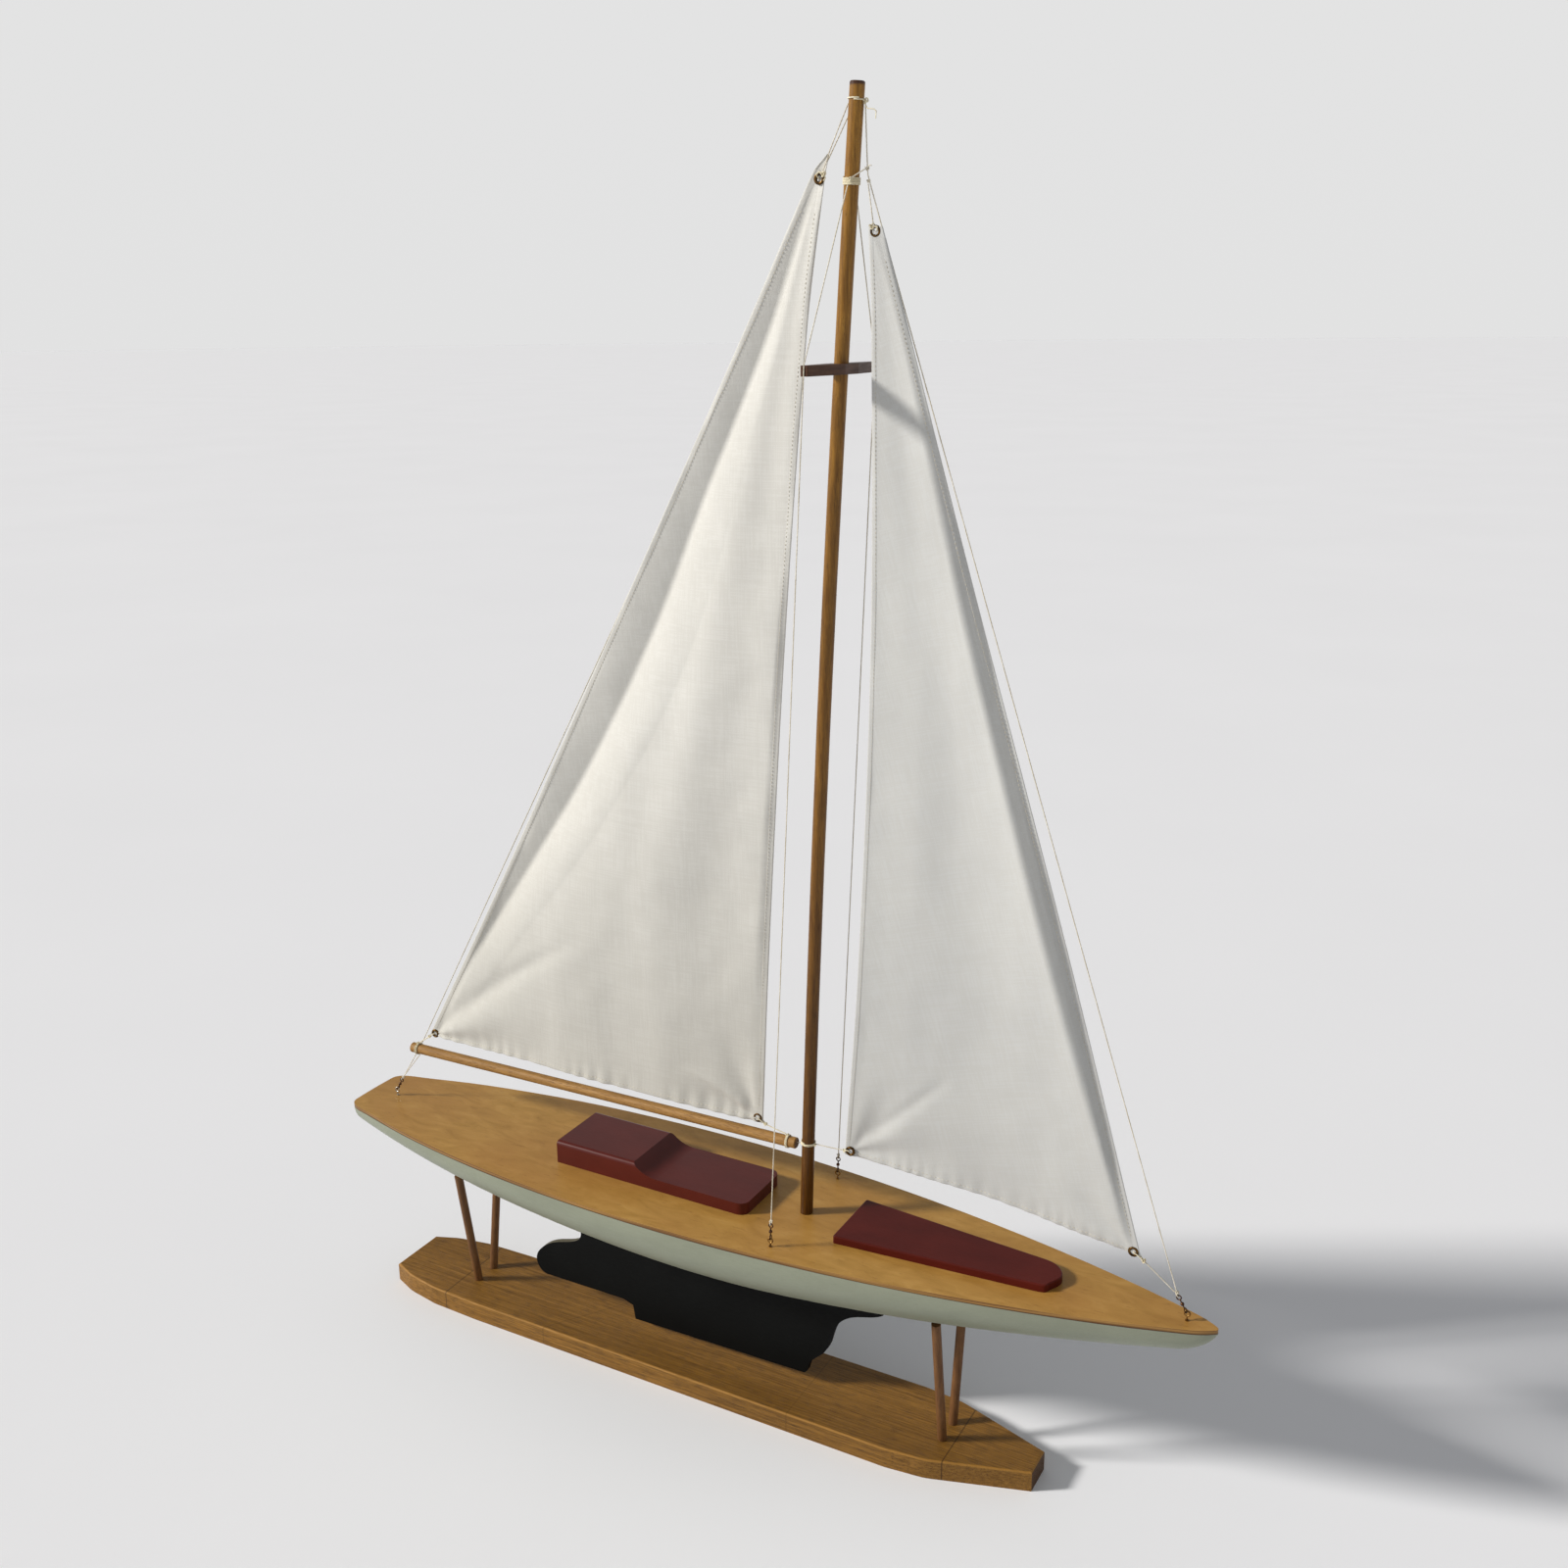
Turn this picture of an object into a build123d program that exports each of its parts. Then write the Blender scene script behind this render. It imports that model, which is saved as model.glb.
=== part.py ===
from build123d import *
import math
import os

os.makedirs("parts", exist_ok=True)

# A wooden pond-yacht model on its stand. Millimetres, +Z up, bow towards +X, port towards +Y.
# The origin is under the middle of the boat's length, on the surface that the stand rests on.

# ---- driving dimensions -------------------------------------------------------------------------
base_thickness = 15.0
base_half_width = 38.0
base_edge_round = 1.6
base_stern_x = -317.0
base_bow_x = 237.0
stern_strut_x = -243.0
bow_strut_x = 169.5
strut_diameter = 6.5
strut_foot_y = 9.5
strut_splay = 0.15            # sideways lean of a strut, per millimetre of height
strut_socket_depth = 8.0
strut_gap = 0.3               # clearance between a strut's top and the hull that rests on it

deck_top = 158.0
deck_thickness = 3.0
hull_stern_x = -350.0
hull_bow_x = 350.5
widest_x = -40.0
half_beam_max = 68.5
hull_depth_max = 58.7         # from the deck's top to the lowest line of the hull
hull_wall = 7.0
hull_floor = 9.0

keel_thickness = 5.0
keel_tenon_top = 113.0

house_aft_x = -142.0
house_step_x = -73.0
house_fore_x = 22.0
house_half_width = 26.5
house_raised_height = 17.7
house_low_height = 9.0
house_run_down = 20.0         # length of the hollow curve from the raised part to the low part
house_corner = 7.0
house_top_round = 3.0

hatch_aft_x = 92.0
hatch_fore_x = 247.0
hatch_half_width = 27.0
hatch_height = 5.6

mast_diameter = 9.0
mast_foot_x = 57.5
mast_top_x = 94.7
mast_top_z = 900.0
mast_bow = 3.6                # how far the middle of the mast stands aft of its chord
mast_socket_depth = 30.0
mast_bevel = 0.6

spreader_z = 740.5
spreader_thickness = 6.2
spreader_half_span = 47.5
spreader_root_width = 15.0
spreader_tip_width = 5.0
spreader_root_half_length = 9.0
spreader_corner = 0.8
spreader_notch_radius = 1.0

boom_diameter = 8.0
boom_bevel = 0.6
boom_fore = (50.0, 210.6)
boom_aft = (-303.8, 206.0)

line_diameter = 0.8
gooseneck_cord_diameter = 0.7
lashing_diameter = 0.9
sail_thickness = 0.6
grommet_radius = 3.5
grommet_hole_radius = 1.8
grommet_flange = 0.6
eye_ring_radius = 1.8
eye_wire = 1.0
eye_height = 5.0
eye_collar_radius = 1.1
eye_collar_height = 0.7
eye_thread_depth = 5.0
swivel_loop = 1.5             # mean radius of a swivel's two loops
swivel_low = 2.25             # from the eye's middle to the middle of the lower loop
swivel_high = 11.5            # and to the middle of the upper loop
swivel_wire = 0.8
swivel_neck_radius = 0.45
swivel_bead_radius = 1.25
line_loop = 1.4               # mean radius of the small loop that ends a line
line_start = swivel_high + 1.95
shroud_eye = (56.5, 51.0)
stern_eye_x = -324.4
bow_eye_x = 330.5

# corners of the sails, as (x, z) of the middle of each grommet
main_head = (69.9, 848.6)
main_clew = (-278.3, 223.7)
main_tack = (18.7, 223.2)
jib_head = (106.9, 818.2)
jib_clew = (92.2, 215.4)
jib_tack = (293.8, 196.8)

masthead_z = 890.0
hounds_z = 846.0
gooseneck_z = 213.5


upwards = (Align.CENTER, Align.CENTER, Align.MIN)
downwards = (Align.CENTER, Align.CENTER, Align.MAX)


def write(shape, name):
    shape.label = name
    export_step(shape, f"parts/{name}.step")


def along(start, end, distance):
    """The point that lies a distance from start, on the way to end."""
    way = (Vector(*end) - Vector(*start)).normalized()
    return Vector(*start) + way * distance


# ---- hull form ----------------------------------------------------------------------------------
def end_round(distance, radius):
    """How much a corner of this radius takes off, at a distance from the end."""
    if distance >= radius:
        return 0.0
    return radius - math.sqrt(radius**2 - (radius - distance) ** 2)


def half_beam(x):
    if x < widest_x:
        share = (widest_x - x) / (widest_x - hull_stern_x)
        width = half_beam_max * (1.0 - 0.60 * share**2.3)
        return width - end_round(x - hull_stern_x, 7.0)
    share = (x - widest_x) / 397.0
    width = half_beam_max * (1.0 - share**1.85) ** 0.87
    tip = max(0.0, (x - 340.0) / 10.8)
    return width * math.sqrt(1.0 - tip**2)


def hull_depth(x):
    if x < 0.0:
        share = x / hull_stern_x
        depth = hull_depth_max * (1.0 - 0.62 * share**1.7)
        return depth - end_round(x - hull_stern_x, 5.0)
    share = x / 350.0
    depth = hull_depth_max * (1.0 - 0.72 * share**1.5)
    tip = max(0.0, (x - 325.0) / 25.9)
    return depth * math.sqrt(1.0 - tip**2)


def hull_section(x, inset, floor):
    """Half an ellipse across the hull, flat side up, at the underside of the deck."""
    top = deck_top - deck_thickness
    half_width = half_beam(x) - inset
    depth = max(hull_depth(x) - deck_thickness, 1.2) - floor
    plane = Plane(origin=(x, 0, top), x_dir=(0, 1, 0), z_dir=(1, 0, 0))
    arc = EllipticalCenterArc((0, 0), half_width, depth, start_angle=180, arc_size=180)
    lid = Line(arc @ 1, arc @ 0)
    return plane * make_face([arc, lid])


stern_end_stations = [-349.8, -349.3, -348.5, -347, -345.5, -343.5]
body_stations = [-343.5, -310, -265, -215, -160, -100, -40, 30, 95, 155, 205, 250, 290, 328]
bow_end_stations = [328, 333, 337, 340, 343, 345.5, 347.5, 349, 350, 350.4]
cavity_stations = [-318, -270, -215, -160, -100, -40, 30, 95, 155, 205, 250, 285]


def hull_body():
    """A smooth body, with a rounded transom and nose of short straight spans."""
    body = loft([hull_section(x, 0.0, 0.0) for x in body_stations])
    stern = loft([hull_section(x, 0.0, 0.0) for x in stern_end_stations], ruled=True)
    bow = loft([hull_section(x, 0.0, 0.0) for x in bow_end_stations], ruled=True)
    return body + stern + bow


def hull_cavity():
    return loft([hull_section(x, hull_wall, hull_floor) for x in cavity_stations])


def deck_outline():
    stations = [-343.5, -330, -295, -245, -185, -115, -40, 40, 110, 170, 222, 270, 305, 328, 340, 347]
    corner = [-349.9, -349.1, -347.1]
    side = [(x, half_beam(x)) for x in corner + stations]
    starboard = [(x, -y) for x, y in side]
    nose = (hull_bow_x, 0)
    edge = Spline(side + [nose] + starboard[::-1])
    transom = ThreePointArc(side[0], (hull_stern_x - 0.5, 0), starboard[0])
    return make_face([edge, transom])


# ---- stand --------------------------------------------------------------------------------------
def base_board(x0, x1):
    stern_half = 23.5
    bow_half = 12.5
    port = [(base_stern_x, stern_half), (-297, 31.5), (-268, 36.6), (-225, base_half_width),
            (138, base_half_width), (167, 35.0), (base_bow_x, bow_half)]
    starboard = [(x, -y) for x, y in port]
    outline = make_face(Polyline(port + starboard[::-1], close=True))
    outline = fillet([v for v in outline.vertices() if -300 < v.X < 170], 45.0)
    plank = extrude(outline, base_thickness)
    rim = plank.faces().sort_by(Axis.Z)[-1].edges()
    plank = fillet(rim, base_edge_round)
    slab = Box(x1 - x0, 4 * base_half_width, 2 * base_thickness)
    board = plank & (Pos((x0 + x1) / 2, 0, base_thickness / 2) * slab)
    for x in (stern_strut_x, bow_strut_x):
        for side in (-1, 1):
            board -= strut_bar(x, side, 40.0)
    return board


def strut_bar(x, side, length):
    """A dowel from the bottom of its socket, leaning outwards."""
    foot_z = base_thickness - strut_socket_depth
    foot = Vector(x, side * (strut_foot_y - strut_splay * strut_socket_depth), foot_z)
    way = Vector(0, side * strut_splay, 1).normalized()
    plane = Plane(origin=foot, z_dir=way)
    return plane * Cylinder(strut_diameter / 2, length, align=upwards)


def strut(x, side, hull):
    keep_off = Pos(0, 0, -strut_gap) * hull
    return strut_bar(x, side, 112.0) - keep_off


# ---- hull pieces --------------------------------------------------------------------------------
def keel_profile():
    """The keel and its fixed aft lobe, in the XZ plane."""
    lobe = [
        Line((-142, keel_tenon_top), (-142, 84)),
        Spline((-142, 84), (-143.6, 78), (-150, 73.6), (-168, 67.6), (-180.6, 59.5), (-187.2, 48),
               (-184, 39.4), (-174.8, 36)),
        Line((-174.8, 36), (-104, 36.6)),
        Line((-104, 36.6), (-94.8, 33.7)),
        Line((-94.8, 33.7), (-93, 22)),
        Line((-93, 22), (56.4, 25.1)),
    ]
    front = [
        Line((56.4, 25.1), (58.5, 27.4)),
        Line((58.5, 27.4), (60.4, 34.6)),
        Spline((60.4, 34.6), (64.4, 39.6), (72.2, 47.2), (77.2, 57), (80.3, 67.8), (86, 77.8), (97.2, 85.4),
               (112.3, 90.2), (119.6, 94)),
        Line((119.6, 94), (119.6, keel_tenon_top)),
        Line((119.6, keel_tenon_top), (-142, keel_tenon_top)),
    ]
    return Plane.XZ * make_face(lobe + front)


def keel_plate():
    return extrude(keel_profile(), keel_thickness / 2, both=True)


def deckhouse():
    """A raised aft part that curves down to a lower fore part, cut from one block."""
    low = house_low_height
    high = house_raised_height
    curve_end = house_step_x + house_run_down
    curve_middle = (house_step_x + 6.0, high - 4.9)
    side = [
        Line((house_aft_x, 0), (house_aft_x, high)),
        Line((house_aft_x, high), (house_step_x, high)),
        Spline((house_step_x, high), curve_middle, (curve_end, low), tangents=[(1, -1.0), (1, 0)]),
        Line((curve_end, low), (house_fore_x, low)),
        Line((house_fore_x, low), (house_fore_x, 0)),
        Line((house_fore_x, 0), (house_aft_x, 0)),
    ]
    face = Plane.XZ * make_face(side)
    block = extrude(face, house_half_width, both=True)
    uprights = block.edges().filter_by(Axis.Z).group_by(Axis.X)[-1]
    block = fillet(uprights, house_corner)
    long_edges = block.edges().filter_by(Axis.X).group_by(Axis.Z)[-1]
    block = fillet(long_edges, house_top_round)
    return Pos(0, 0, deck_top) * block


def fore_hatch():
    nose = 15.5
    taper_x = hatch_fore_x - 17.0
    corner = hatch_half_width
    outline = make_face([
        Line((hatch_aft_x, -corner), (hatch_aft_x, corner)),
        Line((hatch_aft_x, corner), (taper_x, nose)),
        Spline((taper_x, nose), (hatch_fore_x - 4.5, 10.5), (hatch_fore_x, 0), (hatch_fore_x - 4.5, -10.5),
               (taper_x, -nose), tangents=[(1, -0.08), (-1, -0.08)]),
        Line((taper_x, -nose), (hatch_aft_x, -corner)),
    ])
    plate = extrude(outline, hatch_height)
    plate = fillet(plate.edges().filter_by(Axis.Z).group_by(Axis.X)[0], 1.5)
    plate = fillet(plate.faces().sort_by(Axis.Z)[-1].edges(), 0.8)
    return Pos(0, 0, deck_top) * plate


# ---- mast ---------------------------------------------------------------------------------------
def mast_centre(z):
    """X of the mast's middle at a height: its chord, less a shallow bow aft."""
    share = (z - deck_top) / (mast_top_z - deck_top)
    return mast_foot_x + (mast_top_x - mast_foot_x) * share - 4 * mast_bow * share * (1 - share)


def mast_path(bottom_z, top_z):
    middle_z = (bottom_z + top_z) / 2
    return ThreePointArc(*[(mast_centre(z), 0, z) for z in (bottom_z, middle_z, top_z)])


def mast_bar(diameter, bottom_z, top_z=mast_top_z):
    path = mast_path(bottom_z, top_z)
    section = Plane(origin=path @ 0, z_dir=path % 0) * Circle(diameter / 2)
    return sweep(section, path=path)


def mast():
    """A bowed dowel with a bevelled top."""
    shoulder_z = mast_top_z - mast_bevel
    path = mast_path(deck_top - mast_socket_depth, shoulder_z)
    radius = mast_diameter / 2
    bar = mast_bar(mast_diameter, deck_top - mast_socket_depth, shoulder_z)
    cap = Cone(radius, radius - mast_bevel, mast_bevel, align=upwards)
    return bar + Plane(origin=path @ 1, z_dir=path % 1) * cap


def spreader():
    """A strip with a hole for the mast, and a notch in each tip for a shroud."""
    root = spreader_root_width / 2
    tip = spreader_tip_width / 2
    half = spreader_half_span
    flat = spreader_root_half_length
    fore_side = [(root, -flat), (root, flat), (tip, half), (-tip, half)]
    aft_side = [(-root, flat), (-root, -flat), (-tip, -half), (tip, -half)]
    strip = extrude(make_face(Polyline(fore_side + aft_side, close=True)), spreader_thickness / 2, both=True)
    strip = fillet(strip.edges().filter_by(Axis.Z), spreader_corner)
    centre = mast_centre(spreader_z)
    strip = Pos(centre, 0, spreader_z) * strip
    strip -= mast_bar(mast_diameter, deck_top)
    for side in (-1, 1):
        notch = Cylinder(spreader_notch_radius, 3 * spreader_thickness)
        strip -= Pos(centre, side * half, spreader_z) * notch
    return strip


# ---- hardware -----------------------------------------------------------------------------------
def ring(centre, normal, radius, wire):
    """A closed wire ring of this mean radius."""
    return Plane(origin=centre, z_dir=normal) * Torus(radius, wire / 2)


def screw_eye(x, y):
    centre = (x, y, deck_top + eye_height)
    neck_top = deck_top + eye_height - eye_ring_radius
    shank_length = neck_top - deck_top + eye_thread_depth
    shank = Cylinder(eye_wire / 2, shank_length, align=downwards)
    collar = Cylinder(eye_collar_radius, eye_collar_height, align=upwards)
    loop = ring(centre, (0, 1, 0), eye_ring_radius, eye_wire)
    return loop + Pos(x, y, neck_top) * shank + Pos(x, y, deck_top) * collar


def swivel(x, y, line_end):
    """A wire swivel: a loop through the eye, a neck with a bead, and a loop for the line."""
    eye_centre = (x, y, deck_top + eye_height)
    way = (Vector(*line_end) - Vector(*eye_centre)).normalized()
    across = way.cross(Vector(0, 1, 0)).normalized()
    beam = way.cross(across).normalized()
    low = Vector(*eye_centre) + way * swivel_low
    high = Vector(*eye_centre) + way * swivel_high
    neck_from = low + way * swivel_loop
    neck_to = high - way * swivel_loop
    neck = Cylinder(swivel_neck_radius, (neck_to - neck_from).length, align=upwards)
    neck = Plane(origin=neck_from, z_dir=way) * neck
    bead = Plane(origin=(neck_from + neck_to) * 0.5, z_dir=way) * Sphere(swivel_bead_radius)
    low_loop = ring(low, across, swivel_loop, swivel_wire)
    high_loop = ring(high, beam, swivel_loop, swivel_wire)
    return low_loop + high_loop + neck + bead


def swivel_point(x, y, line_end, distance):
    return along((x, y, deck_top + eye_height), line_end, distance)


def grommet(corner):
    """A metal eyelet: two flanges with the sail between them, and a barrel through it."""
    x, z = corner
    half = sail_thickness / 2
    face = Plane.XZ.offset(0)
    barrel = Circle(grommet_radius - 1.1) - Circle(grommet_hole_radius)
    flange = Circle(grommet_radius) - Circle(grommet_hole_radius)
    body = extrude(face * barrel, half + grommet_flange, both=True)
    outer = extrude(Plane.XZ.offset(half) * flange, grommet_flange)
    inner = extrude(Plane.XZ.offset(-half) * flange, -grommet_flange)
    return Pos(x, 0, z) * (body + outer + inner)


def sail(outline, corners):
    cloth = extrude(Plane.XZ * outline, sail_thickness / 2, both=True)
    for x, z in corners:
        hole = Pos(x, 0, z) * Rot(90, 0, 0) * Cylinder(grommet_radius - 1.1, 4.0)
        cloth -= hole
    return cloth


def mainsail():
    outline = make_face([
        Spline((73.4, 850.5), (60.9, 762), (43.6, 566), (29, 347), (22.6, 221)),
        Line((22.6, 221), (20, 218.6)),
        Spline((20, 218.6), (-63, 224.4), (-175, 226.4), (-247, 223.8), (-282.4, 220.8)),
        Line((-282.4, 220.8), (-283.6, 223.6)),
        Spline((-283.6, 223.6), (-201, 366), (-97, 555), (17, 762), (67, 853)),
        Line((67, 853), (73.4, 850.5)),
    ])
    return sail(outline, (main_head, main_clew, main_tack))


def jib():
    outline = make_face([
        Spline((111.4, 820.5), (169.5, 626), (243.4, 386), (299.2, 196)),
        Line((299.2, 196), (296, 192.6)),
        Spline((296, 192.6), (216.5, 203.5), (146, 209.6), (90.5, 210.6)),
        Line((90.5, 210.6), (87.4, 214)),
        Spline((87.4, 214), (97.4, 346), (105.4, 566), (104.6, 770), (102.2, 822)),
        Line((102.2, 822), (111.4, 820.5)),
    ])
    return sail(outline, (jib_head, jib_clew, jib_tack))


# ---- spars and lines ----------------------------------------------------------------------------
def boom():
    start = Vector(boom_aft[0], 0, boom_aft[1])
    end = Vector(boom_fore[0], 0, boom_fore[1])
    bar = Cylinder(boom_diameter / 2, (end - start).length, align=upwards)
    bar = Plane(origin=start, z_dir=end - start) * bar
    return chamfer(bar.edges().filter_by(GeomType.CIRCLE), boom_bevel)


def boom_height(x):
    share = (x - boom_aft[0]) / (boom_fore[0] - boom_aft[0])
    return boom_aft[1] + share * (boom_fore[1] - boom_aft[1])


def cord(points, radii=None, diameter=line_diameter):
    """A round cord along straight runs, with an arc at each bend."""
    if len(points) == 2:
        path = Line(*points)
    else:
        path = FilletPolyline(*points, radius=radii)
        print("cord radii", radii)
    section = Plane(origin=path @ 0, z_dir=path % 0) * Circle(diameter / 2)
    return sweep(section, path=path)


def turns(centre, way, radius, count, pitch):
    """Turns of cord side by side round a spar."""
    rings = []
    for i in range(count):
        shift = (i - (count - 1) / 2) * pitch
        rings.append(ring(Vector(*centre) + way * shift, way, radius, lashing_diameter))
    return rings


def lashing(centre, way, spar_diameter, count, knot_way, knot_radius=1.2):
    """Touching turns of cord round a spar, closed by a knot."""
    radius = spar_diameter / 2 + lashing_diameter / 2 + 0.05
    body = None
    for turn in turns(centre, way, radius, count, lashing_diameter * 0.85):
        body = turn if body is None else body + turn
    knot_at = Vector(*centre) + knot_way * (radius + 0.5)
    tie = Pos(*knot_at) * Sphere(knot_radius)
    spar = Cylinder(spar_diameter / 2 + 0.03, 12)
    return body + (tie - Plane(origin=centre, z_dir=way) * spar)


def knot(point, radius=1.2):
    return Pos(*point) * Sphere(radius)


def mast_way(z):
    return Vector(mast_centre(z + 5) - mast_centre(z - 5), 0, 10).normalized()


# ---- build --------------------------------------------------------------------------------------
hull_solid = hull_body()
cavity = hull_cavity()
keel = keel_plate()
mast_piece = mast()
mast_hole = mast_bar(mast_diameter + 0.04, deck_top - mast_socket_depth)

stern_seam_x = stern_strut_x - 12.0
bow_seam_x = bow_strut_x + 9.0
write(base_board(base_stern_x - 1, stern_seam_x), "base_stern_board")
write(base_board(stern_seam_x, bow_seam_x), "base_centre_board")
write(base_board(bow_seam_x, base_bow_x + 1), "base_bow_board")
for place, x in (("stern", stern_strut_x), ("bow", bow_strut_x)):
    for side_name, side in (("port", 1), ("starboard", -1)):
        write(strut(x, side, hull_solid), f"strut_{place}_{side_name}")

eyes = {
    "stern": (stern_eye_x, 0.0),
    "bow": (bow_eye_x, 0.0),
    "port": (shroud_eye[0], shroud_eye[1]),
    "starboard": (shroud_eye[0], -shroud_eye[1]),
}
step_block = cavity & (Pos(mast_foot_x - 1, 0, deck_top - 40) * Box(34, 30, 40))
hull_shell = hull_solid - cavity - keel - mast_hole
deck_plate = Pos(0, 0, deck_top - deck_thickness) * extrude(deck_outline(), deck_thickness) - mast_hole
eye_pieces = {}
for name, (x, y) in eyes.items():
    eye_pieces[name] = screw_eye(x, y)
    bore = Pos(x, y, deck_top) * Cylinder(eye_wire / 2, 12.0)
    deck_plate -= bore
    hull_shell -= bore
write(hull_shell, "hull_shell")
write(deck_plate, "deck")
write(step_block - mast_hole - keel, "mast_step")
write(keel, "keel_plate")
write(deckhouse(), "deckhouse")
write(fore_hatch(), "fore_hatch")
write(mast_piece, "mast")
write(spreader(), "spreader")

tip_x = mast_centre(spreader_z)
tip_top = spreader_z + spreader_thickness / 2 + 0.4
shroud_top = {
    "port": (tip_x, spreader_half_span, tip_top),
    "starboard": (tip_x, -spreader_half_span, tip_top),
}
swivel_aim = {
    "stern": (-300.0, 0.0, 205.0),
    "bow": (305.0, 0.0, 205.0),
    "port": shroud_top["port"],
    "starboard": shroud_top["starboard"],
}
for name, (x, y) in eyes.items():
    write(eye_pieces[name], f"screw_eye_{name}")
    write(swivel(x, y, swivel_aim[name]), f"swivel_{name}")


def line_foot(name):
    """Where a line starts, above the swivel of this eye."""
    x, y = eyes[name]
    return swivel_point(x, y, swivel_aim[name], line_start)


def end_loop(name):
    """The small loop that ties a line to a swivel."""
    x, y = eyes[name]
    foot = line_foot(name)
    way = (Vector(*swivel_aim[name]) - foot).normalized()
    across = way.cross(Vector(0, 1, 0)).normalized()
    return ring(foot, across, line_loop, line_diameter)


def loop_top(name, aim):
    """The top of the loop on a swivel, where the line towards aim leaves it."""
    return along(line_foot(name), aim, line_loop + 0.2)


mast_side = mast_diameter / 2 + lashing_diameter / 2
masthead = (mast_centre(masthead_z), 0, masthead_z)
hounds = (mast_centre(hounds_z), 0, hounds_z)
gooseneck = (mast_centre(gooseneck_z), 0, gooseneck_z)
masthead_knot = Vector(1, 0, -0.15).normalized()
tail = cord([(masthead[0] + 6.6, 0, masthead_z - 1.0), (masthead[0] + 8.4, -0.6, masthead_z - 5.4),
             (masthead[0] + 12.6, -1.0, masthead_z - 6.4), (masthead[0] + 12.8, -1.2, masthead_z - 11.0)],
            [1.0, 1.0], 0.7)
hounds_knot = Vector(0.3, -1, 0).normalized()
gooseneck_knot = Vector(1, -0.2, 0).normalized()
write(lashing(masthead, mast_way(masthead_z), mast_diameter, 1, masthead_knot) + tail, "masthead_lashing")
write(lashing(hounds, mast_way(hounds_z), mast_diameter, 5, hounds_knot, 0.9), "hounds_lashing")
write(lashing(gooseneck, mast_way(gooseneck_z), mast_diameter, 2, gooseneck_knot, 1.0), "gooseneck_lashing")

# the standing rigging; the forestay passes on the port side of the jib's luff
stay_knot = (100.7, 1.0, 853.0)
stay_fork = (101.2, 1.6, 846.0)
side_clear = boom_diameter / 2 + lashing_diameter + line_diameter / 2 + 0.4
backstay_top = (masthead[0] - 3.6, mast_side - 0.4, masthead_z - 1.0)
backstay_bend = (-300.4, side_clear, 205.4)
write(cord([backstay_top, backstay_bend, tuple(loop_top("stern", backstay_bend))], [12.0])
      + end_loop("stern"), "backstay")
forestay_top = (masthead[0] + mast_side + 0.5, 1.0, masthead_z - 1.6)
forestay_foot = tuple(loop_top("bow", stay_fork))
write(cord([forestay_top, stay_knot, stay_fork, forestay_foot], [3.0, 3.0])
      + Pos(*stay_knot) * Sphere(1.1) + Pos(*stay_fork) * Sphere(1.0) + end_loop("bow"), "forestay")
write(cord([(hounds[0] + 2.5, -mast_side - 0.5, hounds_z + 2.6), (hounds[0] + 6.4, -2.4, hounds_z + 4.6),
            (stay_knot[0] - 0.9, -0.6, stay_knot[2] - 0.6)], [1.6]), "hounds_tie")
for name, side in (("port", 1), ("starboard", -1)):
    foot = tuple(loop_top(name, shroud_top[name]))
    start = (hounds[0], side * (mast_side + 0.45), hounds_z - 2.4)
    write(cord([start, shroud_top[name], foot], [2.5]) + end_loop(name), f"shroud_{name}")

# the running lines
tack_knot = (jib_tack[0] + 6.9, 0, jib_tack[1] - 4.6)
write(cord([tack_knot, tuple(along(line_foot("bow"), tack_knot, 2.6))]) + knot(tack_knot), "jib_tack_line")
clew_knot = (jib_clew[0] - 7.0, 0, jib_clew[1] - 0.4)
clew_line_start = (gooseneck[0] + mast_side + 0.9, 0, gooseneck_z + 0.4)
write(cord([clew_line_start, clew_knot]) + knot(clew_knot), "jib_clew_line")
sheet_top = (-296.6, 0, boom_height(-296.6) - boom_diameter / 2 - lashing_diameter - 0.15)
sheet_foot = along(line_foot("stern"), sheet_top, 2.6) + Vector(0, -1.0, 0)
write(cord([sheet_top, tuple(sheet_foot)]), "mainsheet")
jib_halyard_foot = (jib_head[0] - 1.3, 0, jib_head[1] + 5.0)
jib_halyard_top = (stay_fork[0] + 0.5, 0, stay_fork[2] - 1.6)
write(cord([jib_halyard_foot, jib_halyard_top]), "jib_halyard")

# the boom and the mainsail on it
boom_way = Vector(boom_fore[0] - boom_aft[0], 0, boom_fore[1] - boom_aft[1]).normalized()
write(boom(), "boom")
fore_ring_x = 42.6
aft_ring_x = -297.6
for x, name in ((fore_ring_x, "boom_fore_lashing"), (aft_ring_x, "boom_aft_lashing")):
    write(lashing((x, 0, boom_height(x)), boom_way, boom_diameter, 2, Vector(0, 0, 1)), name)
boom_end = (boom_fore[0] + 0.1, 0, boom_fore[1] + 0.8)
mast_back = (gooseneck[0] - mast_side - 0.6, 0, gooseneck_z - 0.8)
write(cord([boom_end, mast_back], None, gooseneck_cord_diameter), "gooseneck_cord")
write(mainsail(), "mainsail")
halyard_fork = (76.2, 0, 862.4)
halyard_foot = (main_head[0] + 1.3, 0, main_head[1] + 4.8)
halyard_top = (masthead[0] - mast_side - 0.5, 0, masthead_z - 1.6)
write(cord([halyard_foot, halyard_fork, halyard_top], [20.0]) + knot(halyard_fork, 0.8), "main_halyard")
tie_rise = boom_diameter / 2 + 1.6
clew_tie = (-285.0, 0, 219.6)
clew_ring_top = (aft_ring_x + 1.4, 0, boom_height(aft_ring_x) + tie_rise)
write(cord([clew_tie, clew_ring_top]) + knot(clew_tie), "main_clew_cord")
tack_tie = (24.6, 0, 219.4)
tack_ring_top = (fore_ring_x - 1.4, 0, boom_height(fore_ring_x) + tie_rise)
write(cord([tack_tie, tack_ring_top]) + knot(tack_tie), "main_tack_cord")
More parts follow.
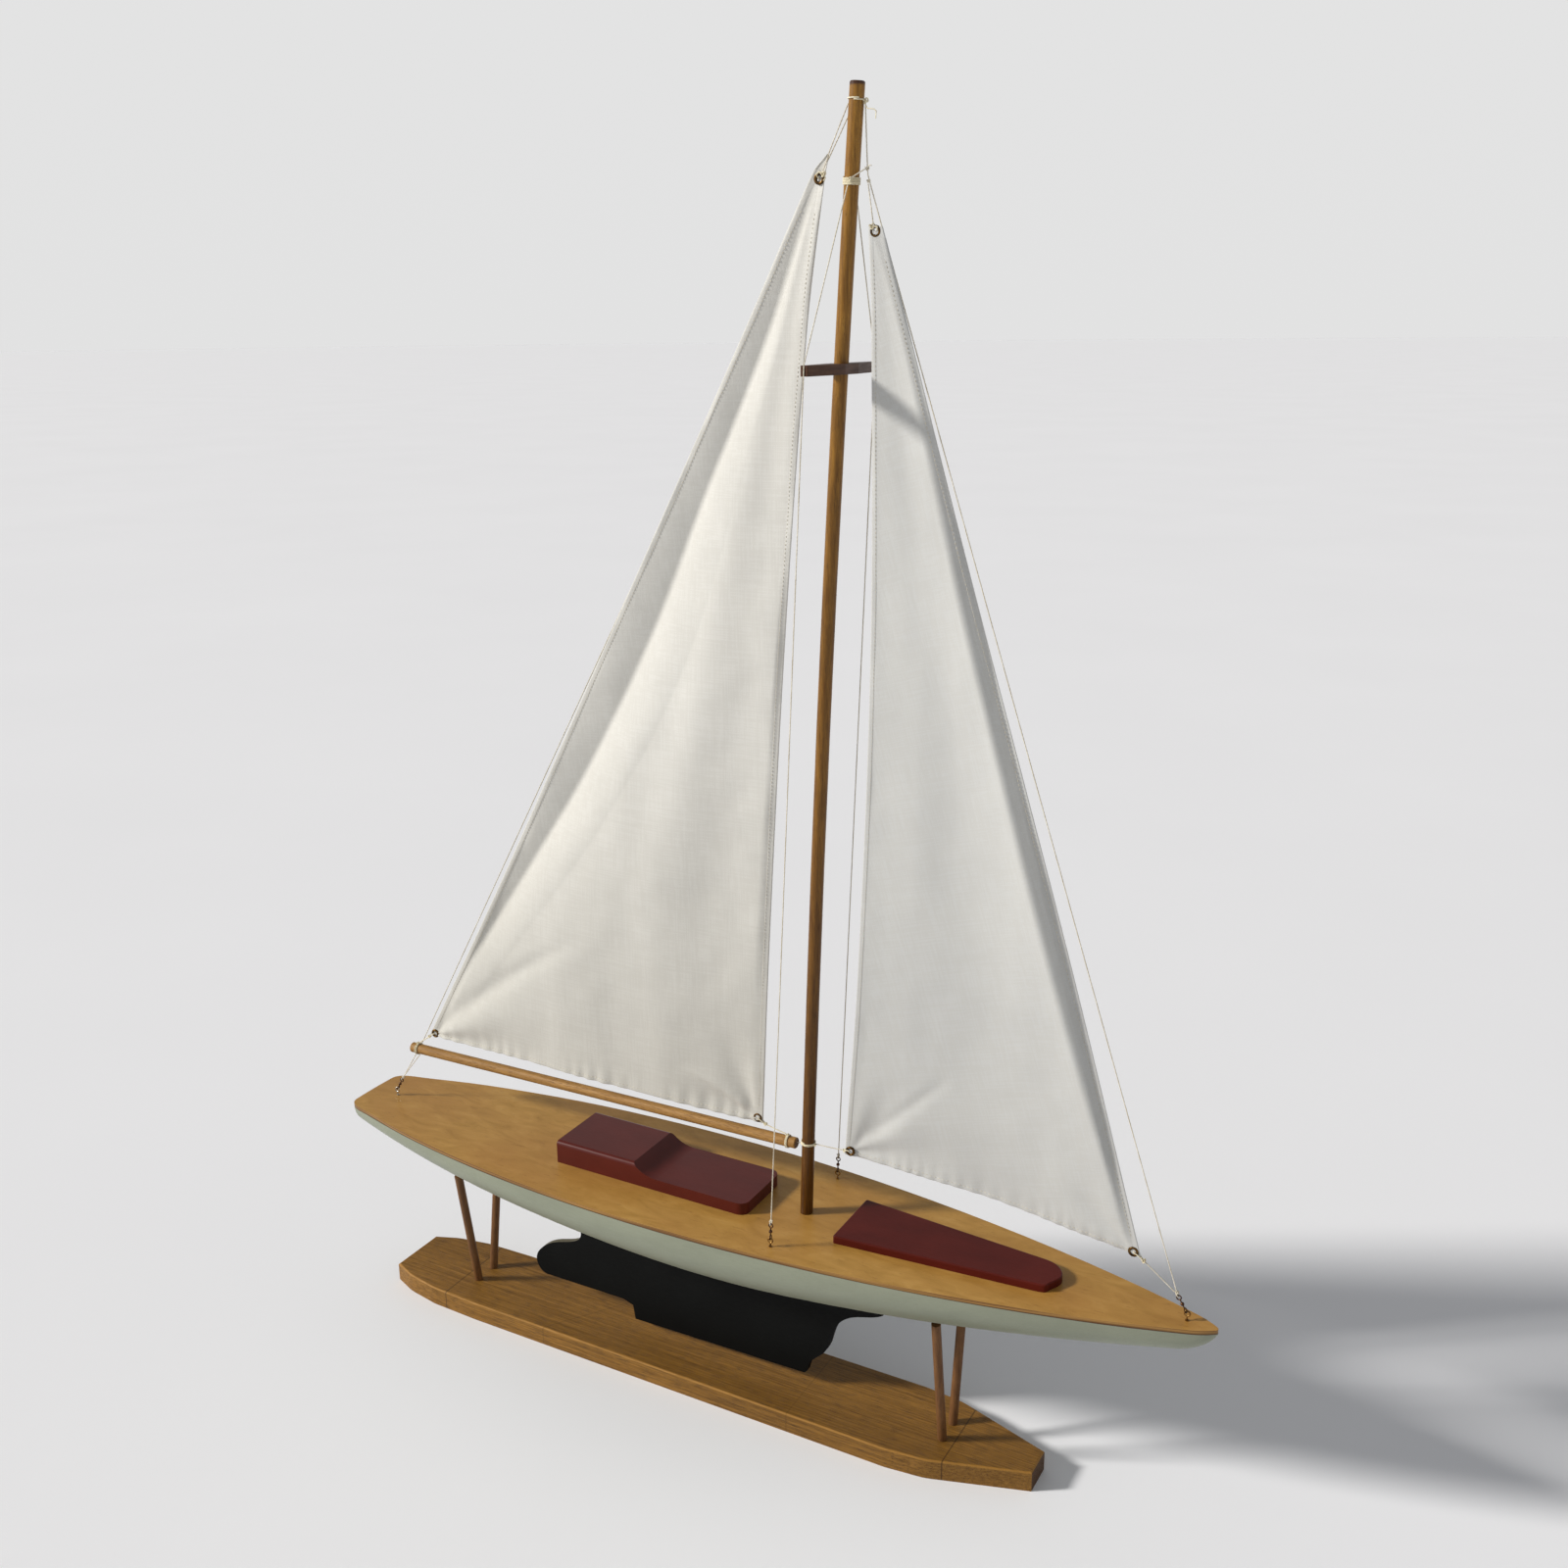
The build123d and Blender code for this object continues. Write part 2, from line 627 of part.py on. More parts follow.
for name, corner in (("main_head", main_head), ("main_clew", main_clew), ("main_tack", main_tack),
                     ("jib_head", jib_head), ("jib_clew", jib_clew), ("jib_tack", jib_tack)):
    write(grommet(corner), f"{name}_grommet")
write(jib(), "jib")
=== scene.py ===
import math

import bmesh
import bpy
import numpy as np
from mathutils import Matrix, Vector, noise


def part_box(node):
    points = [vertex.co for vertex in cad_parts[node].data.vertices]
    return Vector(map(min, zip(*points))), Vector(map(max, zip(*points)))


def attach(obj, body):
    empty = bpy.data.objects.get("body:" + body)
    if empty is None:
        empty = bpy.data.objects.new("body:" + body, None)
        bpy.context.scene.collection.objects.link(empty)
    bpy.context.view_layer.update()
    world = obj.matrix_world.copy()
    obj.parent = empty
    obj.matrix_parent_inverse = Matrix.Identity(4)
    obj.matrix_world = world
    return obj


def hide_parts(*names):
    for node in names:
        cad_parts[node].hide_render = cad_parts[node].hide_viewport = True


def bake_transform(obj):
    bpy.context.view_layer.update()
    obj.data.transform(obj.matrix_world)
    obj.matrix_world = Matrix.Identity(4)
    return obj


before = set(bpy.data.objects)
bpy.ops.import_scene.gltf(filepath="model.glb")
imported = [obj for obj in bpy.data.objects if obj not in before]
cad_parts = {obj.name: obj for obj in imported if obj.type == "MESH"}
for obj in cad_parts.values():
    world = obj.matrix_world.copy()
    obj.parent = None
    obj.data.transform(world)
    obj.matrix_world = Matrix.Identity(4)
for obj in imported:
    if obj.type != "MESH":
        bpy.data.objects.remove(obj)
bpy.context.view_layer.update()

# A wooden pond yacht on its stand: +Z up, bow towards +X, port towards +Y.
# Heights in the materials are metres. Places of spars, cords and sails are millimetres, and MM makes them metres.
MM = 0.001


def link(obj):
    bpy.context.scene.collection.objects.link(obj)
    return obj


# ---- camera ----
CAMERA_PLACE = Vector((0.5304, -0.8834, 0.7686))
CAMERA_AZIMUTH = math.radians(28.919)
CAMERA_ELEVATION = math.radians(16.271)
CAMERA_ROLL = math.radians(-0.529)
CAMERA_LENS = 36.44
SENSOR_WIDTH = 36.0
CLIP_START = 0.01


def make_camera():
    a, e, roll = CAMERA_AZIMUTH, CAMERA_ELEVATION, CAMERA_ROLL
    back = Vector((math.sin(a) * math.cos(e), -math.cos(a) * math.cos(e), math.sin(e)))
    level = Vector((math.cos(a), math.sin(a), 0))
    upright = back.cross(level)
    right = math.cos(roll) * level + math.sin(roll) * upright
    up = math.cos(roll) * upright - math.sin(roll) * level
    data = bpy.data.cameras.new("camera")
    data.lens = CAMERA_LENS
    data.sensor_width = SENSOR_WIDTH
    data.clip_start = CLIP_START
    camera = link(bpy.data.objects.new("camera", data))
    turn = Matrix((right, up, back)).transposed().to_4x4()
    camera.matrix_world = Matrix.Translation(CAMERA_PLACE) @ turn
    bpy.context.scene.camera = camera


make_camera()


# ---- mesh helpers ----
def mesh_piece(name, points, faces, uvs=None):
    """A mesh object from points in metres; uvs holds one pair per point."""
    mesh = bpy.data.meshes.new(name)
    mesh.from_pydata([tuple(p) for p in points], [], faces)
    if uvs is not None:
        layer = mesh.uv_layers.new(name="UVMap")
        for loop in mesh.loops:
            layer.data[loop.index].uv = uvs[loop.vertex_index]
    mesh.polygons.foreach_set("use_smooth", [True] * len(mesh.polygons))
    mesh.update()
    return link(bpy.data.objects.new(name, mesh))


def grid_faces(rows, columns, close_columns=False):
    faces = []
    last = columns if close_columns else columns - 1
    for low in range(0, (rows - 1) * columns, columns):
        for j in range(last):
            k = (j + 1) % columns
            faces.append((low + j, low + k, low + columns + k, low + columns + j))
    return faces


def joined(name, parts):
    """One mesh piece from several (points, faces, uvs) parts."""
    points, faces, uvs = [], [], []
    for part_points, part_faces, part_uvs in parts:
        start = len(points)
        points += [tuple(p) for p in part_points]
        faces += [tuple(start + i for i in face) for face in part_faces]
        uvs += part_uvs
    return mesh_piece(name, points, faces, uvs)


# two directions that no line here runs along, for a first cross direction
ODD_WAY = Vector((0.13, 0.31, 0.94))
ODD_NORMAL = Vector((0.3, 0.9, 0.2))


def frames_along(points):
    """A direction and two cross directions at each point of a line, without twist."""
    last = len(points) - 1
    ways = [(points[min(i + 1, last)] - points[max(i - 1, 0)]).normalized() for i in range(last + 1)]
    side = ways[0].cross(ODD_WAY).normalized()
    made = []
    for way in ways:
        side = (side - way * side.dot(way)).normalized()
        made.append((way, side, way.cross(side)))
    return made


def lengths_along(points):
    """How far along a line each of its points is."""
    lengths = [0.0]
    for a, b in zip(points, points[1:]):
        lengths.append(lengths[-1] + (b - a).length)
    return lengths


def resampled(points, step):
    """Evenly spaced points along a line."""
    lengths = lengths_along(points)
    count = max(2, round(lengths[-1] / step) + 1)
    out, k = [], 0
    for i in range(count):
        want = lengths[-1] * i / (count - 1)
        while k < len(points) - 2 and lengths[k + 1] < want:
            k += 1
        span = max(lengths[k + 1] - lengths[k], 1e-12)
        out.append(points[k].lerp(points[k + 1], (want - lengths[k]) / span))
    return out


STRANDS = 3
LAY_PITCH = 2.6 * MM      # one turn of the cord's strands
LOBE = 0.13               # how deep the grooves between the strands are
SPLINE_STEPS = 24         # points read for each of a route's spans
RING_STEPS = 40
KNOT_STEPS = 48


def tube(line, sides, heights, reach_at, closed_ends=True):
    """Points, faces and uvs of a tube along a line; reach_at gives its radius at a point's number and a turn."""
    points, uvs = [], []
    for i, (centre, (_, side, over)) in enumerate(zip(line, frames_along(line))):
        for j in range(sides):
            turn = 2 * math.pi * j / sides
            reach = reach_at(i, turn)
            points.append(centre + side * (reach * math.cos(turn)) + over * (reach * math.sin(turn)))
            uvs.append((j / sides, heights[i]))
    faces = grid_faces(len(line), sides, close_columns=True)
    if closed_ends:
        faces += [tuple(range(sides))[::-1], tuple(range(len(points) - sides, len(points)))]
    return points, faces, uvs


def rope(points, diameter, sides=12, step=0.35 * MM, closed_ends=True):
    """Points, faces and uvs of a laid cord along a line: three strands twisted together."""
    line = resampled(points, step)
    travelled = lengths_along(line)

    def reach_at(i, turn):
        lobe = math.cos(STRANDS * (turn - 2 * math.pi * travelled[i] / LAY_PITCH / STRANDS))
        return diameter / 2 * (1 - LOBE + LOBE * lobe)
    return tube(line, sides, [length / diameter for length in travelled], reach_at, closed_ends)


def spline_points(route):
    """Points read along the NURBS spline that has these points as its control points."""
    data = bpy.data.curves.new("route", "CURVE")
    data.dimensions = "3D"
    data.resolution_u = SPLINE_STEPS
    spline = data.splines.new("NURBS")
    spline.points.add(len(route) - 1)
    for point, place in zip(spline.points, route):
        point.co = (*place, 1.0)
    spline.order_u = min(3, len(route))
    spline.use_endpoint_u = True
    holder = link(bpy.data.objects.new("route", data))
    mesh = bpy.data.meshes.new_from_object(holder.evaluated_get(bpy.context.evaluated_depsgraph_get()))
    points = [v.co.copy() for v in mesh.vertices]
    bpy.data.objects.remove(holder)
    bpy.data.meshes.remove(mesh)
    return points


def curve_through(points):
    """A smooth curve through 2-D points; it takes a share from 0 to 1 of its chord length."""
    pts = [Vector(p) for p in points]
    lengths = lengths_along(pts)
    knots = [k / lengths[-1] for k in lengths]
    slopes = []
    for i in range(len(pts)):
        low, high = max(i - 1, 0), min(i + 1, len(pts) - 1)
        slopes.append((pts[high] - pts[low]) / (knots[high] - knots[low]))

    def at(share):
        share = min(max(share, 0.0), 1.0)
        k = 0
        while k < len(pts) - 2 and knots[k + 1] < share:
            k += 1
        span = knots[k + 1] - knots[k]
        s = (share - knots[k]) / span
        return (pts[k] * (2 * s**3 - 3 * s**2 + 1) + slopes[k] * span * (s**3 - 2 * s**2 + s)
                + pts[k + 1] * (3 * s**2 - 2 * s**3) + slopes[k + 1] * span * (s**3 - s**2))
    return at


def step_between(value, low, high):
    """0 below low, 1 above high, and smooth between."""
    share = min(max((value - low) / (high - low), 0.0), 1.0)
    return share * share * (3 - 2 * share)


# ---- material helpers ----
def rgb(red, green, blue):
    """A colour given as 0 to 255 screen values."""
    def one(value):
        value /= 255
        return value / 12.92 if value <= 0.04045 else ((value + 0.055) / 1.055) ** 2.4
    return (one(red), one(green), one(blue), 1.0)


def set_stops(ramp, stops):
    """Gives a colour ramp its (position, colour or brightness) stops."""
    elements = ramp.color_ramp.elements
    while len(elements) < len(stops):
        elements.new(0.5)
    for element, (at, colour) in zip(elements, stops):
        element.position = at
        element.color = colour if hasattr(colour, "__len__") else (colour, colour, colour, 1.0)


class Look:
    """A procedural material, placed by the object's own coordinates."""

    def __init__(self, name, **settings):
        self.material = bpy.data.materials.new(name)
        self.material.use_nodes = True
        self.tree = self.material.node_tree
        self.shader = self.tree.nodes["Principled BSDF"]
        self.place = self.tree.nodes.new("ShaderNodeTexCoord").outputs["Object"]
        for socket, value in settings.items():
            self.shader.inputs[socket.replace("_", " ")].default_value = value

    def node(self, kind, inputs=None, **settings):
        made = self.tree.nodes.new("ShaderNode" + kind)
        for key, value in settings.items():
            setattr(made, key, value)
        for key, value in (inputs or {}).items():
            self.feed(made.inputs[key], value)
        return made

    def feed(self, socket, value):
        if isinstance(value, bpy.types.NodeSocket):
            self.tree.links.new(value, socket)
        else:
            socket.default_value = value

    def stretched(self, scale, turn=(0, 0, 0), place=None):
        return self.node("Mapping", {"Vector": place or self.place, "Scale": scale, "Rotation": turn}).outputs[0]

    def noise(self, scale, stretch=(1, 1, 1), detail=4.0, roughness=0.55, distortion=0.0, place=None):
        made = self.node("TexNoise", {"Vector": self.stretched(stretch, place=place), "Scale": scale,
                                      "Detail": detail, "Roughness": roughness, "Distortion": distortion})
        return made.outputs["Fac"]

    def ramp(self, fac, stops):
        made = self.node("ValToRGB", {"Fac": fac})
        set_stops(made, stops)
        return made.outputs["Color"]

    def mix(self, fac, first, second, kind="MIX"):
        made = self.node("MixRGB", {"Fac": fac, "Color1": first, "Color2": second}, blend_type=kind)
        return made.outputs["Color"]

    def sums(self, operation, first, second=0.5):
        return self.node("Math", {0: first, 1: second}, operation=operation).outputs[0]

    def fade(self, value, low, high, at_low=0.0, at_high=1.0):
        """A number that goes from at_low to at_high while value goes from low to high."""
        return self.node("MapRange", {"Value": value, "From Min": low, "From Max": high, "To Min": at_low,
                                      "To Max": at_high}).outputs[0]

    def bump(self, height, strength, distance, normal=None):
        inputs = {"Height": height, "Strength": strength, "Distance": distance}
        if normal is not None:
            inputs["Normal"] = normal
        return self.node("Bump", inputs).outputs[0]

    def part_of(self, which, place=None):
        return self.node("SeparateXYZ", {"Vector": place or self.place}).outputs[which]

    def normal_part(self, which):
        """A component of the surface's own direction."""
        return self.part_of(which, self.node("NewGeometry").outputs["Normal"])

    def done(self, colour, roughness=None, normal=None):
        for socket, value in (("Base Color", colour), ("Roughness", roughness), ("Normal", normal)):
            if value is not None:
                self.feed(self.shader.inputs[socket], value)
        return self.material


SEAM = 0.35 * MM          # half the width of a glued seam's dark line
PORE_SCALE = 50 / 3


def wood(name, dark, light, fleck, grain=(1, 14, 14), scale=40, fleck_size=(9, 170, 170), fleck_share=0.62,
         gloss=(0.35, 0.5), depth=0.12 * MM, end_axis=None, end_colour=None, painted_round_highlight=False, coat=0.0,
         shade=None, seams=(), wander=0.6):
    """Wood with its grain along one axis: streaks, fine lines, dark pores, a painted highlight on rounded arrises,
    end grain and seams.
    """
    look = Look(name, Coat_Weight=coat, Coat_Roughness=0.25, Specular_IOR_Level=0.22)
    streaks = look.noise(scale, stretch=grain, detail=6, distortion=wander)
    lines = look.noise(scale * 5.5, stretch=grain, detail=3, roughness=0.7)
    broad = look.noise(6, stretch=(0.6, 2.5, 2.5), detail=3)
    pores = look.noise(1.0, stretch=[PORE_SCALE * f for f in fleck_size], detail=2, roughness=0.6)
    colour = look.ramp(streaks, [(0.28, dark), (0.72, light)])
    colour = look.mix(look.ramp(lines, [(0.35, 0.0), (0.7, 0.6)]), colour, dark)
    colour = look.mix(look.ramp(broad, [(0.35, 0.0), (0.75, 0.35)]), colour, fleck)
    pore_mask = look.ramp(pores, [(fleck_share, 0.0), (fleck_share + 0.07, 0.8)])
    colour = look.mix(pore_mask, colour, fleck)
    if shade is not None:
        colour = shade(look, colour)
    # painted highlight: faces that slope between the side and the top, the rounded arrises, are lightened as if they
    # caught the light
    if painted_round_highlight:
        upward = look.normal_part("Z")
        round_highlight = look.ramp(upward, [(0.12, 0.0), (0.45, 0.5), (0.93, 0.5), (0.985, 0.0)])
        colour = look.mix(round_highlight, colour, light)
    if end_axis:
        facing = look.sums("ABSOLUTE", look.normal_part(end_axis))
        rings = look.noise(900, detail=2)
        ends = look.mix(look.ramp(rings, [(0.4, 0.2), (0.7, 0.7)]), end_colour, fleck)
        colour = look.mix(look.ramp(facing, [(0.86, 0.0), (0.93, 1.0)]), colour, ends)
    for at, lean, strength in seams:
        run = look.sums("ADD", look.part_of("X"), look.sums("MULTIPLY", look.part_of("Y"), lean))
        gap = look.sums("ABSOLUTE", look.sums("SUBTRACT", run, at))
        colour = look.mix(look.fade(gap, SEAM / 2, SEAM * 2, strength, 0.0), colour, fleck)
    rough = look.ramp(streaks, [(0.3, gloss[1]), (0.7, gloss[0])])
    height = look.sums("SUBTRACT", look.sums("MULTIPLY", lines, 0.5), pore_mask)
    return look.done(colour, rough, look.bump(height, 0.5, depth))


# ---- materials ----
# heights, in metres, over which a colour changes
DECK_EDGE_LINE = (0.1552, 0.1562)
SAIL_PAINTED_SHADE = (0.2, 0.5)
MAST_BROWN = (0.16, 0.8)
MAST_CAP = (0.8972, 0.8984)


def deck_look():
    look = Look("varnished_plywood", Coat_Weight=0.12, Coat_Roughness=0.25, Specular_IOR_Level=0.25)
    streaks = look.noise(34, stretch=(1, 2.6, 2.6), detail=8, roughness=0.62, distortion=0.7)
    blotches = look.noise(11, stretch=(1, 1.6, 1.6), detail=5)
    ticks = look.noise(90, stretch=(1, 6, 6), detail=3, roughness=0.75)
    colour = look.ramp(streaks, [(0.25, rgb(150, 112, 48)), (0.55, rgb(173, 132, 65)),
                                 (0.8, rgb(188, 149, 82))])
    colour = look.mix(look.ramp(blotches, [(0.38, 0.0), (0.72, 0.55)]), colour, rgb(156, 108, 48))
    colour = look.mix(look.ramp(ticks, [(0.6, 0.0), (0.72, 0.5)]), colour, rgb(118, 80, 32))
    edge = look.ramp(look.normal_part("Z"), [(0.55, 1.0), (0.9, 0.0)])
    plies = look.noise(30, stretch=(0.3, 0.3, 25), detail=2)
    side = look.ramp(plies, [(0.4, rgb(108, 74, 36)), (0.6, rgb(150, 112, 58))])
    low = look.fade(look.part_of("Z"), *DECK_EDGE_LINE, 0.8, 0.0)
    colour = look.mix(edge, colour, look.mix(low, side, rgb(52, 34, 20)))
    rough = look.ramp(blotches, [(0.3, 0.46), (0.7, 0.36)])
    return look.done(colour, rough, look.bump(ticks, 0.25, 0.08 * MM))


def hull_look():
    look = Look("sage_paint", Coat_Weight=0.1, Coat_Roughness=0.3)
    cloud = look.noise(14, stretch=(1, 3, 3), detail=4)
    brush = look.noise(160, stretch=(1, 11, 11), detail=3)
    speck = look.noise(700, detail=2)
    colour = look.ramp(cloud, [(0.3, rgb(124, 129, 111)), (0.7, rgb(136, 141, 122))])
    colour = look.mix(look.ramp(brush, [(0.45, 0.0), (0.75, 0.22)]), colour, rgb(113, 117, 100))
    colour = look.mix(look.ramp(speck, [(0.72, 0.0), (0.78, 0.5)]), colour, rgb(114, 108, 86))
    rough = look.ramp(brush, [(0.3, 0.42), (0.7, 0.56)])
    return look.done(colour, rough, look.bump(brush, 0.3, 0.06 * MM))


def keel_look():
    look = Look("black_paint", Specular_IOR_Level=0.1)
    cloud = look.noise(22, detail=5)
    brush = look.noise(240, stretch=(1, 1, 6), detail=3)
    dust = look.noise(900, detail=2)
    colour = look.ramp(cloud, [(0.3, rgb(3, 4, 4)), (0.7, rgb(7, 9, 9))])
    colour = look.mix(look.ramp(dust, [(0.7, 0.0), (0.78, 0.3)]), colour, rgb(64, 68, 64))
    # painted highlight: faces that look upwards, the plate's bevelled edges, are lightened as if they caught the
    # light
    colour = look.mix(look.ramp(look.normal_part("Z"), [(0.35, 0.0), (0.85, 0.55)]), colour, rgb(110, 104, 84))
    rough = look.ramp(brush, [(0.3, 0.48), (0.7, 0.66)])
    return look.done(colour, rough, look.bump(brush, 0.3, 0.05 * MM))


def oxblood_look(name, gloss):
    look = Look(name, Coat_Weight=gloss, Coat_Roughness=0.3, Coat_IOR=1.45, Specular_IOR_Level=0.1)
    cloud = look.noise(18, stretch=(1, 2, 2), detail=4)
    brush = look.noise(130, stretch=(1, 8, 8), detail=4)
    dust = look.noise(1100, detail=2)
    colour = look.ramp(cloud, [(0.3, rgb(72, 18, 12)), (0.7, rgb(85, 25, 18))])
    colour = look.mix(look.ramp(brush, [(0.5, 0.0), (0.8, 0.3)]), colour, rgb(68, 16, 12))
    colour = look.mix(look.ramp(dust, [(0.75, 0.0), (0.8, 0.2)]), colour, rgb(140, 96, 80))
    rough = look.ramp(brush, [(0.3, 0.36), (0.75, 0.5)])
    return look.done(colour, rough, look.bump(brush, 0.35, 0.07 * MM))


def metal_look(name, bright, dull, metallic, roughness):
    look = Look(name, Metallic=metallic)
    cloud = look.noise(420, detail=4)
    colour = look.ramp(cloud, [(0.35, bright), (0.62, dull)])
    rough = look.ramp(cloud, [(0.3, roughness), (0.7, roughness + 0.2)])
    return look.done(colour, rough, look.bump(cloud, 0.2, 0.03 * MM))


def cord_look(name, pale, dusty):
    look = Look(name, Roughness=0.85, Sheen_Weight=0.25, Sheen_Roughness=0.5)
    cloud = look.noise(90, detail=3)
    fibre = look.noise(2600, detail=2)
    colour = look.ramp(cloud, [(0.35, pale), (0.7, dusty)])
    colour = look.mix(look.ramp(fibre, [(0.5, 0.0), (0.75, 0.4)]), colour, dusty)
    return look.done(colour, None, look.bump(fibre, 0.35, 0.08 * MM))


def sail_look(name, warm, cool, painted_shade_tone, weave_turn=(0, 0, 0)):
    """Plain-woven cotton: threads both ways, slubs, faint creases and a painted shade that darkens it towards the
    foot.
    """
    look = Look(name, Roughness=0.8, Sheen_Weight=0.15, Sheen_Roughness=0.4)
    turned = look.stretched((1, 1, 1), turn=weave_turn)
    threads = [look.node("TexWave", {"Vector": turned, "Scale": 700, "Distortion": 1.0, "Detail": 1.0},
                         wave_type="BANDS", bands_direction=way).outputs["Fac"] for way in ("X", "Z")]
    weave = look.sums("MULTIPLY", *threads)
    slub_across = look.noise(300, stretch=(0.12, 1, 4), detail=3, place=turned)
    slub_down = look.noise(300, stretch=(4, 1, 0.12), detail=3, place=turned)
    slubs = look.sums("ADD", slub_across, slub_down)
    cloud = look.noise(10, stretch=(1.6, 1, 0.8), detail=5)
    crumple = look.noise(34, stretch=(1.3, 1, 0.9), detail=6, roughness=0.6)
    colour = look.ramp(cloud, [(0.3, warm), (0.7, cool)])
    colour = look.mix(look.ramp(slubs, [(0.95, 0.0), (1.15, 0.16)]), colour, rgb(170, 166, 156))
    colour = look.mix(look.ramp(weave, [(0.0, 0.1), (0.35, 0.0)]), colour, rgb(150, 146, 138))
    # painted shade: the cloth is made darker towards the foot, where the lower sail is in shade
    low = look.fade(look.part_of("Z"), *SAIL_PAINTED_SHADE, 1.0, 0.0)
    colour = look.mix(low, colour, painted_shade_tone, "MULTIPLY")
    soft = look.bump(crumple, 0.2, 1.2 * MM)
    fine = look.bump(look.sums("ADD", weave, look.sums("MULTIPLY", slubs, 0.4)), 0.25, 0.05 * MM, soft)
    return look.done(colour, None, fine)


def darker_low(look, colour):
    """The mast is browner towards the deck, and its bevelled top is dark."""
    height = look.part_of("Z")
    colour = look.mix(look.fade(height, *MAST_BROWN, 1.0, 0.0), colour, rgb(156, 138, 112), "MULTIPLY")
    return look.mix(look.fade(height, *MAST_CAP), colour, rgb(66, 40, 26))


# the base's glued seams: where each crosses the middle line, its lean and its strength
BASE_SEAMS = ((-0.255, 0.0, 0.8), (0.1785, 0.0, 0.8), (0.06, 0.0, 0.3), (-0.13, -0.7, 0.4))

LOOKS = {
    "deck": deck_look(),
    "hull": hull_look(),
    "keel": keel_look(),
    "house": oxblood_look("oxblood_gloss", 0.5),
    "hatch": oxblood_look("oxblood_satin", 0.12),
    "base": wood("brown_ash", rgb(108, 74, 24), rgb(168, 122, 54), rgb(58, 36, 10), scale=34,
                 grain=(0.5, 26, 26), fleck_size=(5, 200, 200), fleck_share=0.56, wander=0.12, gloss=(0.45, 0.6),
                 end_axis="X", end_colour=rgb(84, 54, 24), painted_round_highlight=True, depth=0.2 * MM,
                 seams=BASE_SEAMS),
    "strut": wood("strut_dowel", rgb(92, 60, 34), rgb(126, 88, 50), rgb(62, 38, 20),
                  grain=(12, 12, 1), fleck_size=(160, 160, 9), gloss=(0.42, 0.55)),
    "mast": wood("mast_dowel", rgb(108, 70, 16), rgb(172, 126, 50), rgb(66, 40, 6),
                 grain=(12, 12, 0.8), fleck_size=(150, 150, 7), gloss=(0.32, 0.46), end_axis="Z",
                 end_colour=rgb(64, 40, 22), coat=0.08, shade=darker_low),
    "boom": wood("boom_dowel", rgb(142, 104, 54), rgb(180, 138, 80), rgb(92, 62, 30),
                 grain=(0.8, 12, 12), fleck_size=(8, 150, 150), fleck_share=0.58, gloss=(0.45, 0.6), end_axis="X",
                 end_colour=rgb(104, 72, 44)),
    "spreader": wood("dark_strip", rgb(58, 34, 20), rgb(92, 56, 34), rgb(34, 18, 10),
                     grain=(10, 1, 10), fleck_size=(120, 9, 120), gloss=(0.4, 0.55), coat=0.05),
    "nickel": metal_look("nickel_wire", rgb(224, 222, 214), rgb(170, 164, 150), 1.0, 0.22),
    "brass": metal_look("brass_wire", rgb(176, 138, 78), rgb(98, 70, 38), 1.0, 0.3),
    "dark_wire": metal_look("dark_wire", rgb(96, 66, 46), rgb(52, 34, 26), 0.9, 0.38),
    "eyelet": metal_look("antique_brass", rgb(112, 84, 46), rgb(54, 40, 24), 1.0, 0.32),
    "line": cord_look("rigging_cord", rgb(214, 208, 192), rgb(178, 168, 146)),
    "twine": cord_look("lashing_twine", rgb(226, 218, 190), rgb(190, 178, 146)),
    "main": sail_look("main_cotton", rgb(209, 208, 203), rgb(199, 198, 193), rgb(231, 230, 227)),
    "jib": sail_look("jib_cotton", rgb(194, 195, 193), rgb(185, 186, 185), rgb(246, 246, 246),
                     weave_turn=(0, math.radians(17), 0)),
    "thread": cord_look("sewing_thread", rgb(214, 206, 186), rgb(176, 166, 144)),
    "pine": wood("bare_pine", rgb(190, 150, 100), rgb(214, 180, 132), rgb(150, 108, 64)),
}


def paint(obj, look):
    obj.data.materials.clear()
    obj.data.materials.append(LOOKS[look])
    return obj


NODE_LOOKS = {
    "hull_shell": "hull", "deck": "deck", "keel_plate": "keel", "deckhouse": "house", "fore_hatch": "hatch",
    "mast": "mast", "boom": "boom", "spreader": "spreader", "mast_step": "pine", "screw_eye_stern": "nickel",
}


def look_of(node):
    for start, look in (("base_", "base"), ("strut_", "strut"), ("swivel_", "dark_wire"), ("screw_eye_", "brass")):
        if node.startswith(start) and node not in NODE_LOOKS:
            return look
    return NODE_LOOKS.get(node, "line")


for node_name, node_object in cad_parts.items():
    paint(node_object, look_of(node_name))


# ---- cords ----
LINE = 0.8 * MM
TWINE = 0.9 * MM
WHIPPING = 0.7 * MM       # the thin cord of the masthead's loose end and of the gooseneck
HALF_TWINE = 0.45         # millimetres


def cord_piece(name, body, route, node, diameter=LINE, look="line"):
    """A laid cord along a route in millimetres. One with no body is left unattached."""
    line = spline_points([Vector(p) * MM for p in route])
    piece = paint(joined(name, [rope(line, diameter)]), look)
    if body:
        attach(piece, body)
    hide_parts(node)
    return piece


